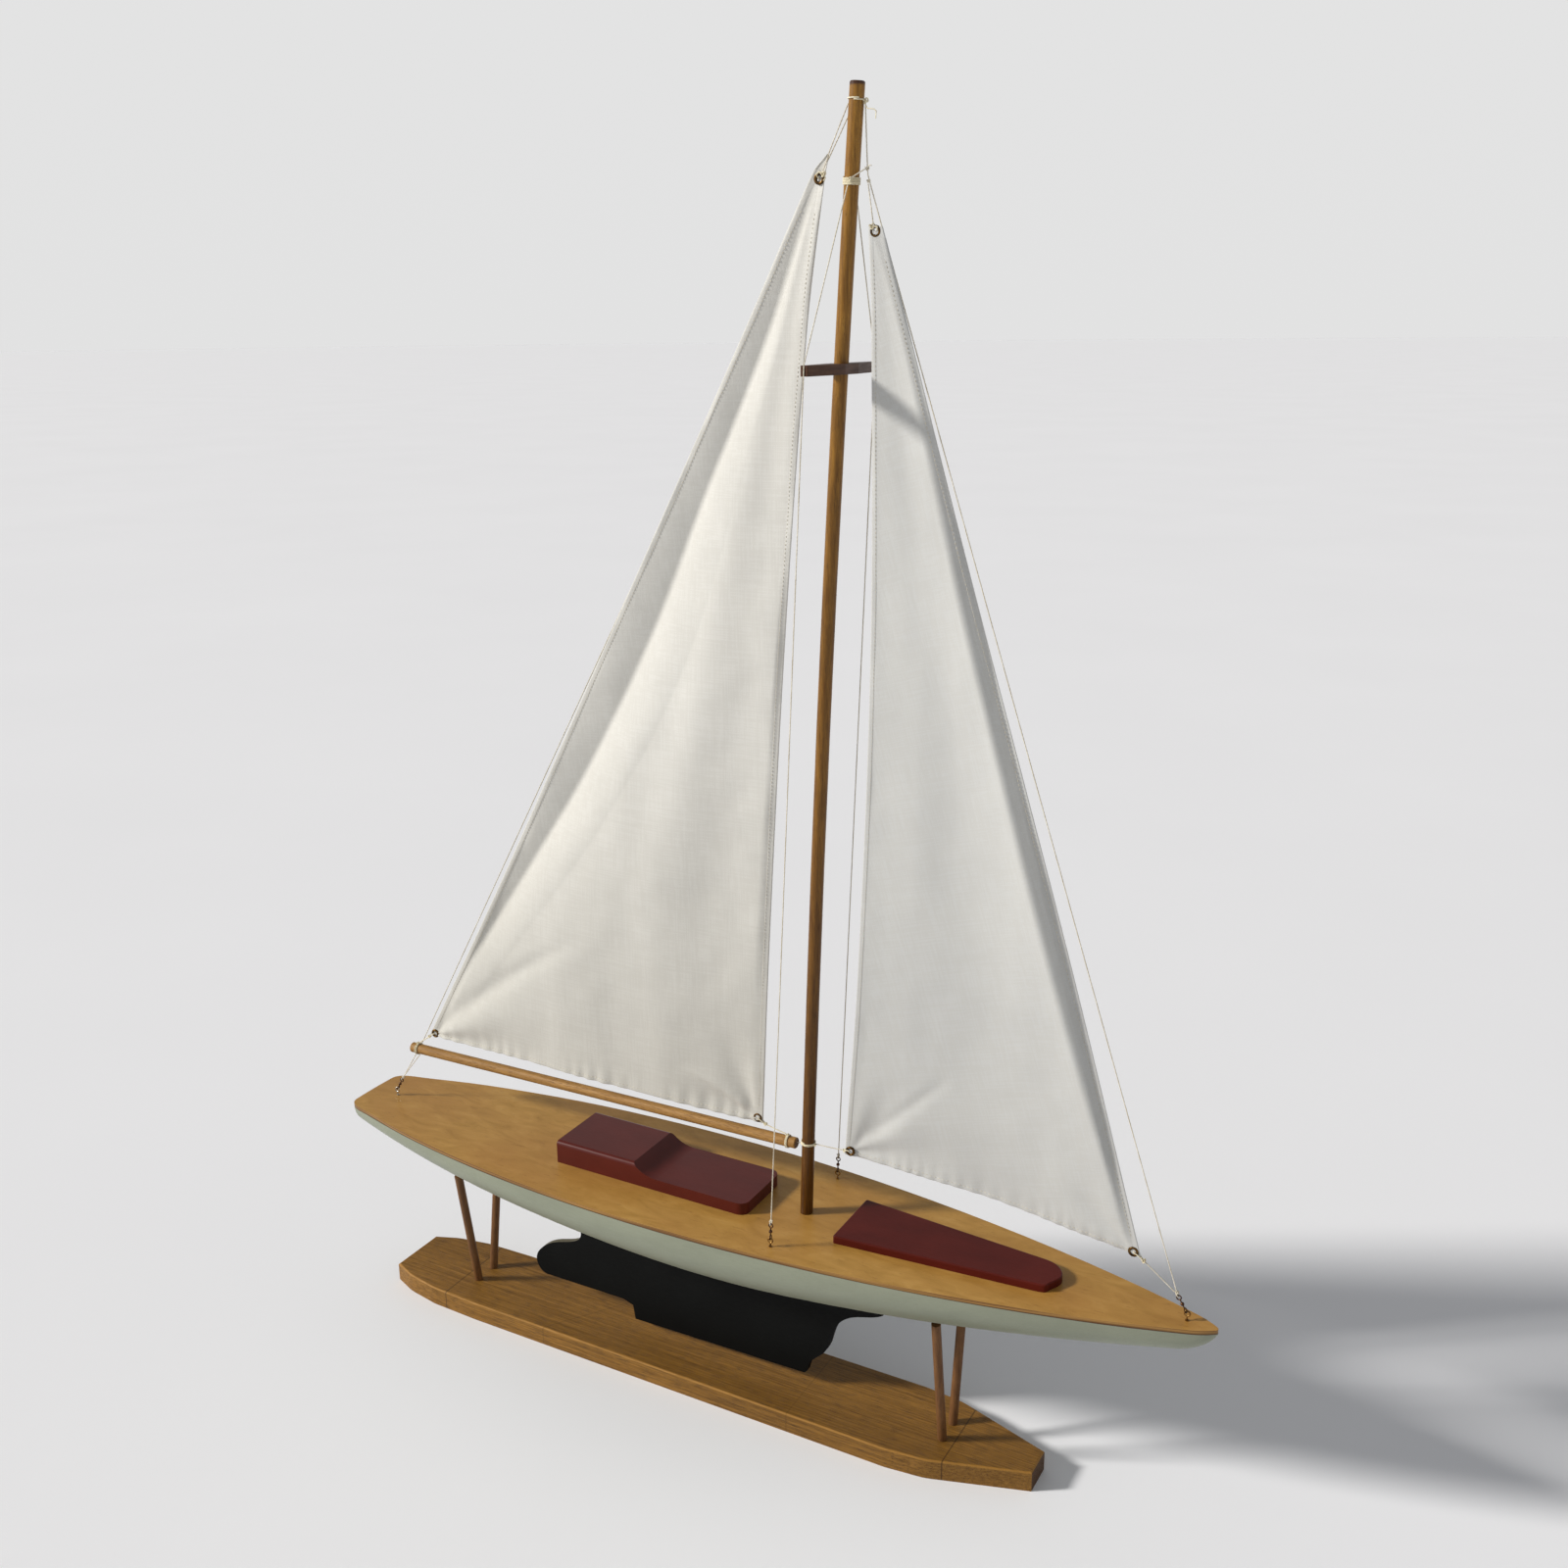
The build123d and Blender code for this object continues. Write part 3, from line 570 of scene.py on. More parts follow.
# the screw eyes, and the points that the lines from them aim at
EYES = {"stern": (-324.4, 0), "bow": (330.5, 0), "port": (56.5, 51), "starboard": (56.5, -51)}
EYE_TOP = 163.0
SWIVEL_REACH = 13.45      # from an eye to the middle of the line's end loop
LOOP_RADIUS = 1.4
KNOT_REACH = 1.6          # from the middle of an end loop to the knot that closes it
TIE_REACH = 2.6           # and to the start of the two short ties beside it
SPREADER_LOW, SPREADER_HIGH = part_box("spreader")
TIP_X = (SPREADER_LOW.x + SPREADER_HIGH.x) / 2 / MM
TIP_Y = 47.5
TIP_TOP = SPREADER_HIGH.z / MM + 0.4
AIMS = {"stern": (-300.0, 0, 205.0), "bow": (305.0, 0, 205.0),
        "port": (TIP_X, TIP_Y, TIP_TOP), "starboard": (TIP_X, -TIP_Y, TIP_TOP)}


def line_foot(name):
    """The middle of a line's end loop, above its swivel."""
    x, y = EYES[name]
    eye = Vector((x, y, EYE_TOP))
    return eye + (Vector(AIMS[name]) - eye).normalized() * SWIVEL_REACH


def above_foot(name, aim, reach=KNOT_REACH):
    """A point a little above a line's end loop, towards an aim."""
    foot = line_foot(name)
    return foot + (Vector(aim) - foot).normalized() * reach


def ring_points(centre, normal, radius, turns=1.0, climb=0.0, start=0.0):
    """Points of a ring, or of a helix that climbs along its normal."""
    normal = Vector(normal).normalized()
    across = normal.cross(ODD_NORMAL).normalized()
    over = normal.cross(across)
    total = int(RING_STEPS * turns)
    out = []
    for i in range(total + 1):
        angle = start + 2 * math.pi * turns * i / total
        out.append(Vector(centre) + across * (radius * math.cos(angle)) + over * (radius * math.sin(angle))
                   + normal * (climb * i / total))
    return out


def knot_points(centre, size, turn=0.0, tilt=0.5):
    """An overhand knot: a trefoil line, tipped over."""
    spin = Matrix.Rotation(turn, 3, "Z") @ Matrix.Rotation(tilt, 3, "X")
    out = []
    for i in range(KNOT_STEPS + 1):
        t = 2 * math.pi * i / KNOT_STEPS
        p = Vector((math.sin(t) + 2 * math.sin(2 * t), math.cos(t) - 2 * math.cos(2 * t), -1.3 * math.sin(3 * t)))
        out.append(Vector(centre) + spin @ (p * (size / 6)))
    return out


def scaled(points):
    return [p * MM for p in points]


def knot_part(centre, size, turn=0.0, tilt=0.5, diameter=TWINE):
    return rope(scaled(knot_points(centre, size, turn, tilt)), diameter, sides=8, step=0.3 * MM, closed_ends=False)


def twine_part(base, offsets, diameter=TWINE):
    """A short strand through points given from a base point."""
    return rope(scaled([Vector(base) + Vector(p) for p in offsets]), diameter, sides=8)


def loop_part(name):
    """The loop at a line's lower end, through its swivel."""
    foot = line_foot(name)
    across = (Vector(AIMS[name]) - foot).cross(Vector((0, 1, 0)))
    return rope(scaled(ring_points(foot, across, LOOP_RADIUS)), LINE, sides=8, closed_ends=False)


def knots_piece(name, body, parts, look="twine"):
    piece = paint(joined(name, parts), look)
    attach(piece, body)
    return piece


MAST_FOOT_X, MAST_TOP_X, MAST_BOW = 57.5, 94.7, 3.6
DECK_TOP, MAST_TOP_Z, MAST_RADIUS = 158.0, 900.0, 4.5


def mast_x(z):
    """The mast's middle line, which bows aft."""
    share = (z - DECK_TOP) / (MAST_TOP_Z - DECK_TOP)
    return MAST_FOOT_X + (MAST_TOP_X - MAST_FOOT_X) * share - 4 * MAST_BOW * share * (1 - share)


def mast_way(z):
    return Vector((mast_x(z + 5) - mast_x(z - 5), 0, 10)).normalized()


MASTHEAD_Z, HOUNDS_Z, GOOSENECK_Z = 890.0, 846.0, 213.5
STAY_KNOT = (100.7, 1.0, 853.0)
STAY_FORK = (101.2, 1.6, 846.0)
BACKSTAY_BEND = (-300.4, 5.7, 205.4)
HALYARD_FORK = (76.2, 0, 862.4)
MAST_SIDE = MAST_RADIUS + HALF_TWINE


def backstay():
    foot = above_foot("stern", BACKSTAY_BEND)
    top = Vector((mast_x(MASTHEAD_Z) - 3.6, MAST_SIDE - 0.4, MASTHEAD_Z - 1.0))
    bend = Vector(BACKSTAY_BEND)
    loop = knots_piece("backstay_knot", "boat", [loop_part("stern"), knot_part(foot, 2.2, 0.6, diameter=LINE)],
                       "line")
    cord_piece("backstay_line", "boat", [foot, bend.lerp(foot, 0.18), bend, bend.lerp(top, 0.012), top], "backstay")


def forestay():
    foot = above_foot("bow", STAY_FORK)
    top = (mast_x(MASTHEAD_Z) + MAST_SIDE + 0.3, 1.0, MASTHEAD_Z - 1.6)
    loop = knots_piece("forestay_knots", "boat", [
        loop_part("bow"), knot_part(foot, 2.4, 0.3, diameter=LINE), knot_part(STAY_KNOT, 2.6, 1.0, 0.9, LINE),
        knot_part(STAY_FORK, 1.9, 0.2, 1.2, LINE),
        twine_part(STAY_KNOT, ((0.4, -0.4, 0.3), (1.6, -0.6, 1.5), (3.0, -0.5, 1.2)), LINE * 0.9)], "line")
    cord_piece("forestay_line", "boat", [foot, STAY_FORK, STAY_KNOT, top], "forestay")


def shroud(name, side):
    aim = Vector(AIMS[name])
    foot = above_foot(name, aim)
    top = Vector((mast_x(HOUNDS_Z), side * (MAST_SIDE + 0.3), HOUNDS_Z - 2.2))
    loop = knots_piece(f"shroud_{name}_knot", "boat", [loop_part(name), knot_part(foot, 2.2, side, diameter=LINE)],
                       "line")
    cord_piece(f"shroud_{name}_line", "boat", [foot, aim.lerp(foot, 0.004), aim, aim.lerp(top, 0.03), top],
               f"shroud_{name}")


def hounds_tie():
    x = mast_x(HOUNDS_Z)
    route = [(x + 2.3, -MAST_SIDE - 0.4, HOUNDS_Z + 1.6), (x + 6.2, -2.6, HOUNDS_Z + 4.6),
             (STAY_KNOT[0] - 0.7, -0.2, STAY_KNOT[2] - 0.4)]
    cord_piece("hounds_tie_line", "boat", route, "hounds_tie")


def lashing(name, node, body, centre, way, radius, coil, knot, size, turned, more=()):
    """Turns of twine round a spar, side by side, and their knot; coil holds turns, pitch and start."""
    turns, pitch, start = coil
    way = Vector(way).normalized()
    low = Vector(centre) - way * (pitch * (turns - 1) / 2)
    rings = rope(scaled(ring_points(low, way, radius + HALF_TWINE, turns, pitch * turns, start)), TWINE, sides=10,
                 step=0.4 * MM)
    piece = knots_piece(name, body, [rings, knot_part(Vector(centre) + Vector(knot), size, *turned), *more])
    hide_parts(node)


MASTHEAD_TAIL = ((5.6, -0.6, -0.8), (6.4, -0.9, -3.6), (7.6, -1.1, -5.2), (11.8, -1.3, -5.8), (13.2, -1.2, -7.0),
                 (12.8, -1.2, -11.0))


def mast_lashings():
    tail = twine_part((mast_x(MASTHEAD_Z), 0, MASTHEAD_Z), MASTHEAD_TAIL, WHIPPING)
    for name, place, z, coil, knot, size, turned, more in (
            ("masthead_tie", "masthead", MASTHEAD_Z, (1.1, 0.9, 2.0), (5.9, -0.4, -0.9), 3.4, (0.4, 0.9), [tail]),
            ("hounds_tie_turns", "hounds", HOUNDS_Z, (5.0, 0.82, 1.0), (1.6, -5.4, 1.2), 2.2, (0.2, 1.3), []),
            ("gooseneck_tie", "gooseneck", GOOSENECK_Z, (2.2, 0.85, 0.5), (5.4, -0.9, 0.1), 2.4, (0.9, 0.4), [])):
        lashing(name, f"{place}_lashing", "boat", (mast_x(z), 0, z), mast_way(z), MAST_RADIUS, coil, knot, size,
                turned, more)


backstay()
forestay()
shroud("port", 1)
shroud("starboard", -1)
hounds_tie()
mast_lashings()

BOOM_AFT = Vector((-303.8, 0, 206.0))
BOOM_FORE = Vector((50.0, 0, 210.6))
BOOM_WAY = (BOOM_FORE - BOOM_AFT).normalized()
BOOM_RADIUS = 4.0
AFT_RING_X, FORE_RING_X = -297.6, 42.6


def boom_at(x):
    return BOOM_AFT + BOOM_WAY * ((x - BOOM_AFT.x) / BOOM_WAY.x)


def boom_ties():
    for name, x, start in (("aft", AFT_RING_X, 0.4), ("fore", FORE_RING_X, 2.2)):
        lashing(f"boom_{name}_tie", f"boom_{name}_lashing", "main_boom", boom_at(x), BOOM_WAY, BOOM_RADIUS,
                (2.2, 0.9, start), (0.3, -0.8, BOOM_RADIUS + 1.0), 2.6, (0.5, 0.5))
    end = BOOM_FORE + Vector((0.2, 0, 0.8))
    route = [end, end + Vector((2.4, -0.3, 0.2)), (mast_x(GOOSENECK_Z) - MAST_SIDE - 0.5, 0, GOOSENECK_Z - 0.8)]
    cord_piece("gooseneck_loop", "main_boom", route, "gooseneck_cord", WHIPPING)


boom_ties()


# the sails' corners, at the middle of their eyelets
CORNERS = {
    "main_head": (69.9, 848.6), "main_clew": (-278.3, 223.7), "main_tack": (18.7, 223.2),
    "jib_head": (106.9, 818.2), "jib_clew": (92.2, 215.4), "jib_tack": (293.8, 196.8),
}


def corner_at(corner):
    x, z = CORNERS[corner]
    return Vector((x, 0, z))


def line_between(name, node, route):
    """A line that runs between two bodies, so it rides on neither."""
    line = cord_piece(name, None, route, node)
    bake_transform(line)


def running_lines():
    """The mainsheet, the jib's clew line and its tack line."""
    top = boom_at(AFT_RING_X + 1.0) - Vector((0, 0, BOOM_RADIUS + 1.05))
    foot = above_foot("stern", top, TIE_REACH) + Vector((0, -1.0, 0))
    line_between("mainsheet_line", "mainsheet", [foot, foot.lerp(top, 0.5), top])
    start = Vector((mast_x(GOOSENECK_Z) + MAST_SIDE + 0.9, 0, GOOSENECK_Z + 0.4))
    end = corner_at("jib_clew") + Vector((-4.2, 0, -0.4))
    slack = start.lerp(end, 0.5) - Vector((0, 0, 0.5))
    line_between("clew_line", "jib_clew_line", [start, slack, end])
    tack = corner_at("jib_tack")
    knot = tack + Vector((6.9, 0, -4.6))
    cord_piece("jib_tack_tie", "boat", [knot, above_foot("bow", knot, TIE_REACH)], "jib_tack_line")
    knots_piece("jib_tack_knot", "boat", [knot_part(knot, 2.8, 0.4, 0.8)])
    knots_piece("jib_tack_loop", "headsail", [
        twine_part(tack, ((6.3, side * 0.3, -4.2), (3.6, side * 1.3, -1.4), (1.4, side * 1.3, -0.4),
                          (0.2, side * 0.5, 0))) for side in (-1, 1)])


running_lines()


# ---- sails ----
CLOTH = 0.4 * MM
HEM_RISE = 0.14 * MM
EYELET_HOLE = 1.7         # millimetres
FOOT_FADE = 9             # how fast the foot's curve is lost above it


class Sail:
    """A three-cornered sail between a luff and a leech, with folds that push it sideways."""

    def __init__(self, luff, leech, foot, folds):
        self.luff, self.leech, self.foot = curve_through(luff), curve_through(leech), curve_through(foot)
        self.folds = folds

    def flat(self, u, t):
        """x and z, in millimetres, at a share u from leech to luff and t from foot to head."""
        aft, fore = self.leech(t), self.luff(t)
        low = self.foot(u)
        chord = self.leech(0).lerp(self.luff(0), u)
        return aft.lerp(fore, u) + (low - chord) * (1 - t) ** FOOT_FADE

    def at(self, u, t):
        x, z = self.flat(u, t)
        return Vector((x, self.folds(u, t, x, z), z)) * MM

    def out(self, u, t):
        """The direction that points to starboard, square to the cloth."""
        d = 0.002
        along = self.at(min(u + d, 1), t) - self.at(max(u - d, 0), t)
        up = self.at(u, min(t + d, 1)) - self.at(u, max(t - d, 0))
        way = along.cross(up).normalized()
        return way if way.y < 0 else -way


def ruffle(x, z, wave, seed):
    """Uneven small waves, from -1 to 1."""
    return noise.noise(Vector((x / wave, z / wave, seed)))


MAIN_LUFF = [(22.6, 219.6), (29, 347), (43.6, 566), (60.9, 762), (73.0, 847), (75.9, 861.4)]
MAIN_LEECH = [(-283.4, 222.2), (-201, 366), (-97, 555), (17, 762), (65.6, 852), (75.2, 861.9)]
MAIN_FOOT = [(-283.4, 222.2), (-247, 223.6), (-175, 226.2), (-63, 224.2), (22.6, 219.6)]
JIB_LUFF = [(298.6, 194.4), (243.4, 386), (169.5, 626), (111.4, 820.5)]
JIB_LEECH = [(88.2, 212.2), (97.4, 346), (105.4, 566), (104.6, 770), (102.2, 822)]
JIB_FOOT = [(88.2, 212.2), (146, 209.4), (216.5, 203.4), (298.6, 194.4)]


def from_corner(x, z, corner):
    """Distance and angle from a corner of the sail."""
    dx, dz = x - CORNERS[corner][0], z - CORNERS[corner][1]
    return math.hypot(dx, dz), math.atan2(dz, dx)


def fan(x, z, corner, reach, count, lean):
    """Folds that spread from a corner, from -1 to 1."""
    r, angle = from_corner(x, z, corner)
    return math.sin(count * angle + lean) * math.exp(-((r - reach * 0.6) / (reach * 0.55)) ** 2)


def crease(x, z, corner, aim, bend, width, begins, ends):
    """One narrow crease that runs out from a corner, from 0 to 1."""
    r, angle = from_corner(x, z, corner)
    off = (angle - aim + bend * r) * r
    return math.exp(-(off / width) ** 2) * step_between(r, *begins) * step_between(-r, -ends[1], -ends[0])


def blurred(profile, at, step):
    """A profile's mean over five points, which rounds its corners."""
    return sum(profile(at + k * step) for k in (-2, -1, 0, 1, 2)) / 5


def main_folds(u, t, x, z):
    """How far the mainsail's cloth is pushed to port, in millimetres."""
    width = 306 * (1 - t) + 4
    edge = step_between(u, 0, 0.04) * step_between(1 - u, 0, 0.04)
    # along the leech the cloth turns away, and then it falls towards starboard in one broad bright fold
    peak_at = 0.02 + 0.21 * step_between(t, 0.06, 0.62) + 0.2 * step_between(t, 0.62, 1)
    trough_at = 0.07 + 0.47 * step_between(t, -0.05, 0.65) + 0.16 * step_between(t, 0.62, 1)
    peak = 0.25 * peak_at * width
    trough = peak - 0.27 * (trough_at - peak_at) * width

    def across(share):
        if share < peak_at:
            return peak * (max(share, 0) / peak_at) ** 1.35
        if share < trough_at:
            return trough + (peak - trough) * ((trough_at - share) / (trough_at - peak_at)) ** 1.8
        return trough * step_between(1 - share, 0, 1 - trough_at)
    push = blurred(across, u, 1.2 / width) * step_between(u, 0, 0.02)
    push -= 0.034 * width * (1 - t) * math.sin(math.pi * min(max((u - trough_at) / (1 - trough_at), 0), 1))
    # slow waves from the head down the fore half
    waves = math.sin(2 * math.pi * (2.6 * u + 0.35 * t)) * step_between(u, 0.3, 0.6) * step_between(t, 0.05, 0.3)
    push += edge * waves * 1.7 * (1 - t)
    # folds that spread from the clew and from the tack, and a sharper crease from each
    push += edge * 1.9 * fan(x, z, "main_clew", 105, 9.0, 0.9)
    push += edge * 1.1 * fan(x, z, "main_tack", 48, 7.0, 0.3)
    push += edge * 1.9 * crease(x, z, "main_clew", 0.74, 0.0006, 6.5, (15, 60), (120, 205))
    push -= edge * 1.4 * crease(x, z, "main_tack", 2.42, -0.004, 4.0, (6, 20), (40, 70))
    # the gathered foot
    near = math.exp(-((z - MAIN_FOOT[2][1] + 3) / 12.0) ** 2)
    push += edge * near * 0.75 * math.sin(2 * math.pi * (x / 13.0 + 1.4 * ruffle(x, 0, 60, 3))) \
        * (0.5 + ruffle(x, 0, 45, 5))
    push += edge * (2.0 * ruffle(x, z * 0.6, 58, 1) + 0.45 * ruffle(x, z, 22, 4))
    return push


JIB_SLOPE = 0.72


def jib_folds(u, t, x, z):
    """How far the jib's cloth is pushed to port, in millimetres."""
    width = 208 * (1 - t) + 3
    edge = step_between(u, 0, 0.05) * step_between(1 - u, 0, 0.04)
    # a sharp fold beside the luff: bright before its crest and dark after it
    reach = min(12.5 * math.sin(math.pi * t ** 0.72) + 0.6, 0.25 * width)
    fade = min(24, 0.34 * width)

    def across(off):
        if off < reach:
            return -JIB_SLOPE * max(off, 0)
        return -JIB_SLOPE * reach * math.exp((reach - off) / fade)
    push = blurred(across, (1 - u) * width, 1.1) * edge
    push += 0.016 * width * math.sin(math.pi * u)
    push += edge * 0.6 * (1 - t) * math.sin(2 * math.pi * (2.2 * u + 0.2 * t))
    push += edge * 0.9 * fan(x, z, "jib_clew", 60, 8.0, 0.2)
    push += edge * 0.7 * fan(x, z, "jib_tack", 46, 8.0, 0.8)
    push += edge * 1.1 * crease(x, z, "jib_clew", 0.78, 0, 4.5, (8, 30), (70, 110))
    share = (x - JIB_FOOT[0][0]) / (JIB_FOOT[-1][0] - JIB_FOOT[0][0])
    near = math.exp(-((z - JIB_FOOT_CURVE(share)[1]) / 9.0) ** 2)
    push += edge * near * 0.28 * math.sin(2 * math.pi * (x / 11.0 + 1.5 * ruffle(x, 0, 50, 9)))
    push += edge * (1.3 * ruffle(x, z * 0.6, 56, 11) + 0.3 * ruffle(x, z, 20, 6))
    return push


JIB_FOOT_CURVE = curve_through(JIB_FOOT)
MAIN = Sail(MAIN_LUFF, MAIN_LEECH, MAIN_FOOT, main_folds)
JIB = Sail(JIB_LUFF, JIB_LEECH, JIB_FOOT, jib_folds)


def cloth_sheet(name, sail, columns, rows, corners):
    """The cloth itself, with its thickness and a hole at each eyelet. Its rows are closer together near the foot."""
    middle = np.array([[sail.at(j / (columns - 1), (i / (rows - 1)) ** 1.25) for j in range(columns)]
                       for i in range(rows)])
    ways = np.cross(np.gradient(middle, axis=1), np.gradient(middle, axis=0))
    ways *= -np.sign(ways[..., 1:2]) / np.linalg.norm(ways, axis=2, keepdims=True)
    front = list((middle + ways * CLOTH / 2).reshape(-1, 3))
    back = list((middle - ways * CLOTH / 2).reshape(-1, 3))
    uvs = [(p[0], p[2]) for p in middle.reshape(-1, 3)]
    faces = grid_faces(rows, columns)
    back_faces = [tuple(len(front) + k for k in face[::-1]) for face in faces]
    rim = (list(range(columns)) + [i * columns + columns - 1 for i in range(1, rows)]
           + [(rows - 1) * columns + j for j in range(columns - 2, -1, -1)]
           + [i * columns for i in range(rows - 2, 0, -1)])
    sides = [(b, a, a + len(front), b + len(front)) for a, b in zip(rim, rim[1:] + rim[:1])]
    piece = mesh_piece(name, front + back, faces + back_faces + sides, uvs + uvs)
    made = bmesh.new()
    made.from_mesh(piece.data)
    gone = []
    for face in made.faces:
        centre = face.calc_center_median() / MM
        if any(from_corner(centre.x, centre.z, corner)[0] < EYELET_HOLE for corner in corners):
            gone.append(face)
    bmesh.ops.delete(made, geom=gone, context="FACES")
    made.to_mesh(piece.data)
    made.free()
    return piece


HEM_STEPS = 260
HEM_LIP = 0.25            # how far a hem goes round the cloth's edge, in millimetres


def hem_strip(sail, edge, width, end):
    """A folded edge: a low band on both faces of the cloth that wraps round its edge."""
    points, uvs = [], []
    # distances inwards across the band, and which face of the cloth each is on
    section = [(width * (1 - k / 5), 1 if k else 0.2) for k in range(6)]
    section.append((-HEM_LIP, 0.0))
    section += [(width * k / 5, -1 if k < 5 else -0.2) for k in range(6)]
    for i in range(HEM_STEPS):
        s = end * i / (HEM_STEPS - 1)
        for inward, face in section:
            u, t = edge(s, max(inward, 0.0))
            p, way = sail.at(u, t), sail.out(u, t)
            rise = (CLOTH / 2 + HEM_RISE) * (1.0 + 0.25 * ruffle(s * 400, inward * 3, 6, 2))
            if inward < 0:
                outer = sail.at(*edge(s, 0.0)) - sail.at(*edge(s, 1.0))
                p = p + outer.normalized() * (-inward * MM)
            points.append(p + way * (face * rise))
            uvs.append((p.x, p.z))
    return points, grid_faces(HEM_STEPS, len(section)), uvs


def edges_of(sail):
    """For each edge, u and t at a share along it and a distance inwards in millimetres."""
    def foot(s, inward):
        tall = (sail.flat(s, 0.02) - sail.flat(s, 0)).length / 0.02
        return s, inward / max(tall, 1.0)

    def leech(s, inward):
        wide = (sail.flat(1, s) - sail.flat(0, s)).length
        return min(inward / max(wide, 1.0), 0.5), s

    def luff(s, inward):
        return 1 - leech(s, inward)[0], s
    return {"foot": foot, "leech": leech, "luff": luff}


STITCH_SHARE = 0.62       # of the pitch
STITCH_RADIUS = 0.15 * MM
STITCH_SHAPE = (0.45, 0.9, 1.0, 0.9, 0.45)
STITCH_SIDES = 5


def stitch(a, b, out):
    """One short raised stitch between two points on the hem."""
    rise = out * (CLOTH / 2 + HEM_RISE * 1.15)
    mid = (a + b) / 2 + rise + out * (0.12 * MM)
    line = [a + rise * 0.75, mid.lerp(a + rise, 0.4), mid, mid.lerp(b + rise, 0.4), b + rise * 0.75]
    return tube(line, STITCH_SIDES, [k / 4 for k in range(5)], lambda k, _: STITCH_RADIUS * STITCH_SHAPE[k])


def stitch_parts(sail, edge, inward, pitch, start, end):
    """A row of stitches along an edge, on both faces of the cloth."""
    stride = pitch * MM / lengths_along([sail.at(*edge(k / 40, inward)) for k in range(41)])[-1]
    parts = []
    s = start
    while s < end:
        first, last = edge(s, inward), edge(min(s + stride * STITCH_SHARE, 1.0), inward)
        for face in (1, -1):
            parts.append(stitch(sail.at(*first), sail.at(*last), sail.out(*first) * face))
        s += stride
    return parts


EYELET_RADIUS, EYELET_ROLL, EYELET_RISE, EYELET_LIFT = 2.65, 0.85, 0.75, 0.15
LATHE_SIDES = 36


def lathe(profile):
    """Points and faces of a closed ring profile, (radius, height) pairs in millimetres, turned round +Y."""
    points, uvs = [], []
    for i in range(LATHE_SIDES):
        turn = 2 * math.pi * i / LATHE_SIDES
        for radius, height in profile:
            points.append((radius * MM * math.cos(turn), height * MM, radius * MM * math.sin(turn)))
            uvs.append((i / LATHE_SIDES, height))
    columns = len(profile)
    faces = grid_faces(LATHE_SIDES, columns, close_columns=True)
    last = len(points) - columns
    for j in range(columns):
        k = (j + 1) % columns
        faces.append((last + j, last + k, k, j))
    return points, faces, uvs


def eyelet(corner, body):
    """A rolled brass eyelet through the cloth."""
    profile = []
    half = CLOTH / MM / 2 + EYELET_LIFT
    for face in (-1, 1):
        for k in range(9):
            turn = math.pi * k / 8
            profile.append((EYELET_RADIUS - face * EYELET_ROLL * math.cos(turn),
                            face * (half + EYELET_RISE * math.sin(turn))))
    points, faces, uvs = lathe(profile)
    place = corner_at(corner) * MM
    piece = paint(mesh_piece(f"{corner}_eyelet", [place + Vector(p) for p in points], faces, uvs), "eyelet")
    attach(piece, body)
    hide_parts(f"{corner}_grommet")
    return piece


def make_sail(name, sail, body, look, corners, columns, rows, hems, stitches):
    cloth = paint(cloth_sheet(f"{name}_cloth", sail, columns, rows, corners), look)
    edges = edges_of(sail)
    hem = paint(joined(f"{name}_hems", [hem_strip(sail, edges[e], width, end) for e, width, end in hems]), look)
    seams = []
    for e, inward, pitch, start, end in stitches:
        seams += stitch_parts(sail, edges[e], inward, pitch, start, end)
    thread = paint(joined(f"{name}_stitches", seams), "thread")
    for piece, slot in ((cloth, "sailcloth"), (hem, "sailcloth"), (thread, "cord")):
        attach(piece, body)
    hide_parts(name)
    rings = [eyelet(corner, body) for corner in corners]


# hems: the edge, the hem's width and how far along it goes
# stitches: the edge, the distance inwards, the pitch, and where the row starts and ends
make_sail("mainsail", MAIN, "main_boom", "main", ("main_head", "main_clew", "main_tack"), 150, 260,
          [("foot", 3.6, 1.0), ("leech", 4.2, 0.985), ("luff", 4.2, 0.985)],
          [("foot", 3.0, 3.0, 0.02, 0.98), ("leech", 3.4, 2.6, 0.02, 0.95), ("luff", 3.4, 2.6, 0.02, 0.95)])
make_sail("jib", JIB, "headsail", "jib", ("jib_head", "jib_clew", "jib_tack"), 110, 240,
          [("foot", 3.4, 1.0), ("leech", 3.6, 0.99), ("luff", 4.0, 0.99)],
          [("foot", 2.8, 3.0, 0.03, 0.97), ("leech", 2.6, 2.6, 0.02, 0.97), ("luff", 3.4, 2.8, 0.02, 0.97)])


def tie_to_boom(corner, tie, ring_x, out, sag, turned):
    """A lower corner of the mainsail tied down to the boom; out is -1 at the clew and 1 at the tack."""
    at, tie = corner_at(corner), Vector(tie)
    low = boom_at(ring_x) + Vector((-1.4 * out, 0, BOOM_RADIUS + 1.4))
    cord_piece(f"{corner}_tie", "main_boom", [tie, tie.lerp(low, 0.5) - Vector((0, 0, sag)), low], f"{corner}_cord",
               look="twine", diameter=TWINE)
    knots_piece(f"{corner}_knot", "main_boom", [
        knot_part(tie, 2.6, *turned),
        twine_part(at, (tie - at, (3.2 * out, -1.2, -1.6), (0.6 * out, -1.1, 0))),
        twine_part(at, (tie - at, (3.0 * out, 1.2, -1.4), (0.4 * out, 0.9, 0.2)))])


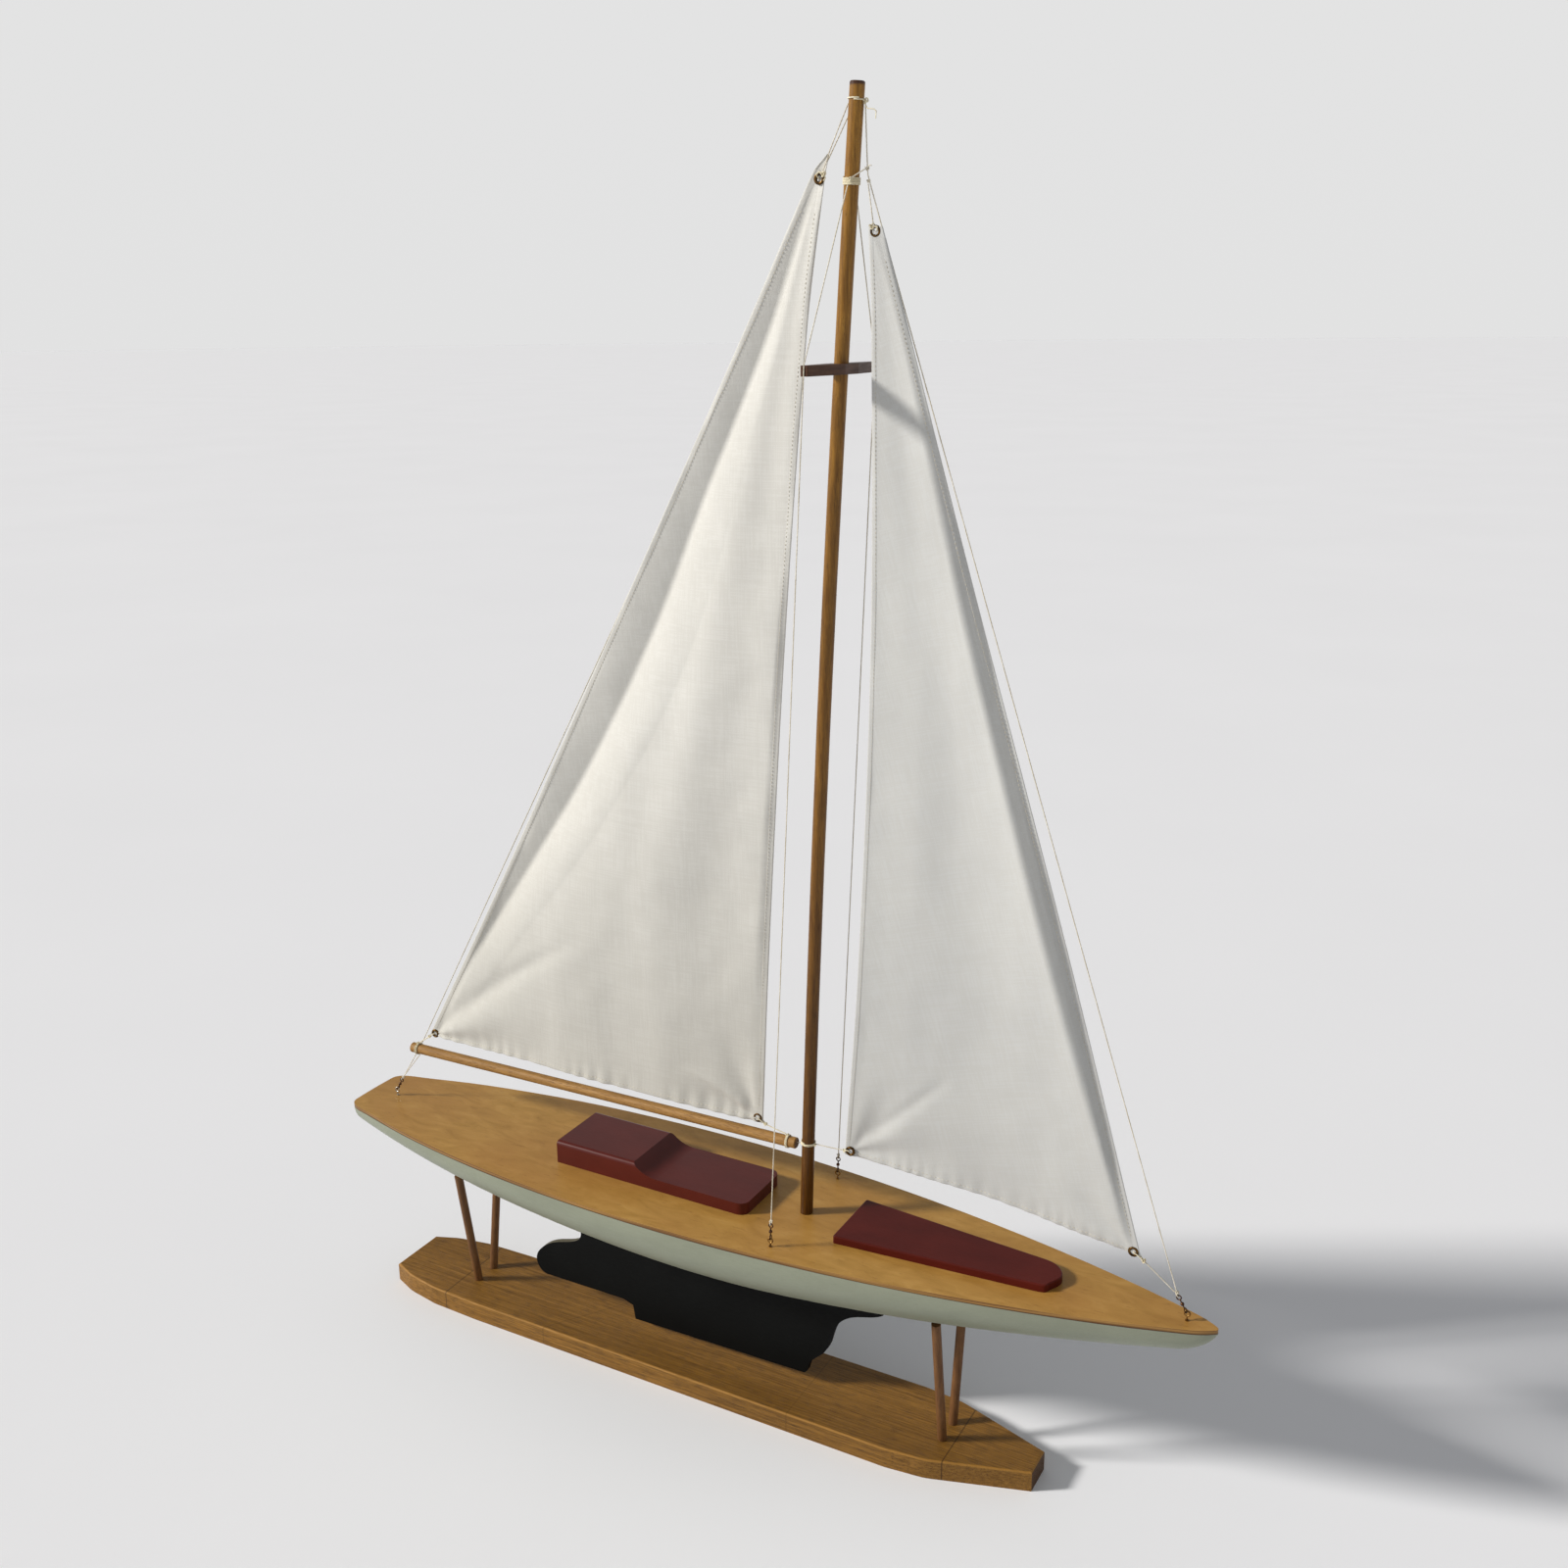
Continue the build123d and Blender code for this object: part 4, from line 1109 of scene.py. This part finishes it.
def corner_cords():
    """The cords and knots at the sails' corners."""
    head, fork = corner_at("main_head"), Vector(HALYARD_FORK)
    knots = knots_piece("main_head_knot", "main_boom", [
        knot_part(head + Vector((3.2, -1.5, 2.4)), 3.2, 0.3, 1.2),
        twine_part(head, ((3.0, -1.4, 3.0), (0.6, -1.5, 3.6), (-1.4, -1.4, 2.4), (-0.6, -0.4, 0.4),
                          (0.4, 0.6, -0.2))),
        twine_part(head, ((3.6, -1.4, 2.0), (4.6, -1.3, 0.2), (3.4, -1.3, -1.4)))])
    route = [head + Vector((2.8, -1.2, 4.2)), fork.lerp(head, 0.3) + Vector((1.2, -0.9, 0)),
             fork + Vector((0, -0.5, 0)), (mast_x(MASTHEAD_Z) - MAST_SIDE - 0.3, 0, MASTHEAD_Z - 1.6)]
    cord_piece("main_halyard_line", "main_boom", route, "main_halyard")
    tie_to_boom("main_clew", (-285.0, 0, 219.6), AFT_RING_X, -1, 0.3, (0.8, 0.5))
    tie_to_boom("main_tack", (24.6, 0, 219.4), FORE_RING_X, 1, 0.4, (0.2, 0.9))
    head = corner_at("jib_head")
    knots_piece("jib_head_knot", "headsail", [
        knot_part(head + Vector((-1.8, -1.3, 2.8)), 3.4, 0.5, 1.1),
        twine_part(head, ((-1.6, -1.3, 2.8), (1.6, -1.4, 2.4), (1.2, -1.0, 0.4), (0, 0.5, 0)))])
    top = Vector(STAY_FORK) + Vector((0.5, -1.4, -1.6))
    cord_piece("jib_halyard_line", "headsail", [head + Vector((-1.5, -0.6, 4.6)), top], "jib_halyard")
    clew = corner_at("jib_clew")
    knots_piece("jib_clew_knot", "headsail", [
        knot_part(clew + Vector((-4.4, -0.2, -0.4)), 2.8, 0.3, 0.7),
        twine_part(clew, ((-4.2, -0.4, -0.2), (-2.0, -1.3, 0.6), (-0.2, -1.1, 0.2)))])


corner_cords()


# ---- floor and light ----
FLOOR_RADIUS = 60.0       # metres
FLOOR_SIDES = 96


def make_floor():
    """A plain pale floor that runs to the horizon."""
    look = Look("pale_floor", Roughness=0.9, Specular_IOR_Level=0.2)
    cloud = look.noise(1.5, detail=3)
    material = look.done(look.ramp(cloud, [(0.3, rgb(238, 240, 245)), (0.7, rgb(240, 242, 247))]),
                         None, look.bump(look.noise(300, detail=2), 0.05, 0.1 * MM))
    points = [(0.0, 0.0, 0.0)]
    for j in range(FLOOR_SIDES):
        turn = 2 * math.pi * j / FLOOR_SIDES
        points.append((FLOOR_RADIUS * math.cos(turn), FLOOR_RADIUS * math.sin(turn), 0.0))
    floor = mesh_piece("floor", points, [(0, j + 1, (j + 1) % FLOOR_SIDES + 1) for j in range(FLOOR_SIDES)])
    floor.data.materials.append(material)


SUN_TRAVEL = (0.745, 0.484, -0.459)
SUN_ENERGY = 3.8
SUN_ANGLE = math.radians(8)
SUN_COLOUR = (1.0, 0.96, 0.9)
SKY = [(0.0, 0.762), (0.2, 0.77), (0.45, 0.34), (1.0, 0.2)]     # height and brightness


def make_light():
    world = bpy.data.worlds.new("studio")
    world.use_nodes = True
    tree = world.node_tree
    way = tree.nodes.new("ShaderNodeTexCoord").outputs["Generated"]
    split = tree.nodes.new("ShaderNodeSeparateXYZ")
    tree.links.new(way, split.inputs[0])
    ramp = tree.nodes.new("ShaderNodeValToRGB")
    tree.links.new(split.outputs["Z"], ramp.inputs["Fac"])
    set_stops(ramp, SKY)
    tree.links.new(ramp.outputs["Color"], tree.nodes["Background"].inputs["Color"])
    bpy.context.scene.world = world
    data = bpy.data.lights.new("key", "SUN")
    data.energy = SUN_ENERGY
    data.angle = SUN_ANGLE
    data.color = SUN_COLOUR
    key = link(bpy.data.objects.new("key", data))
    key.rotation_mode = "QUATERNION"
    key.rotation_quaternion = Vector(SUN_TRAVEL).to_track_quat("-Z", "Y")


make_floor()
make_light()
bpy.context.scene.view_settings.view_transform = "Standard"
bpy.context.scene.view_settings.exposure = 0.0
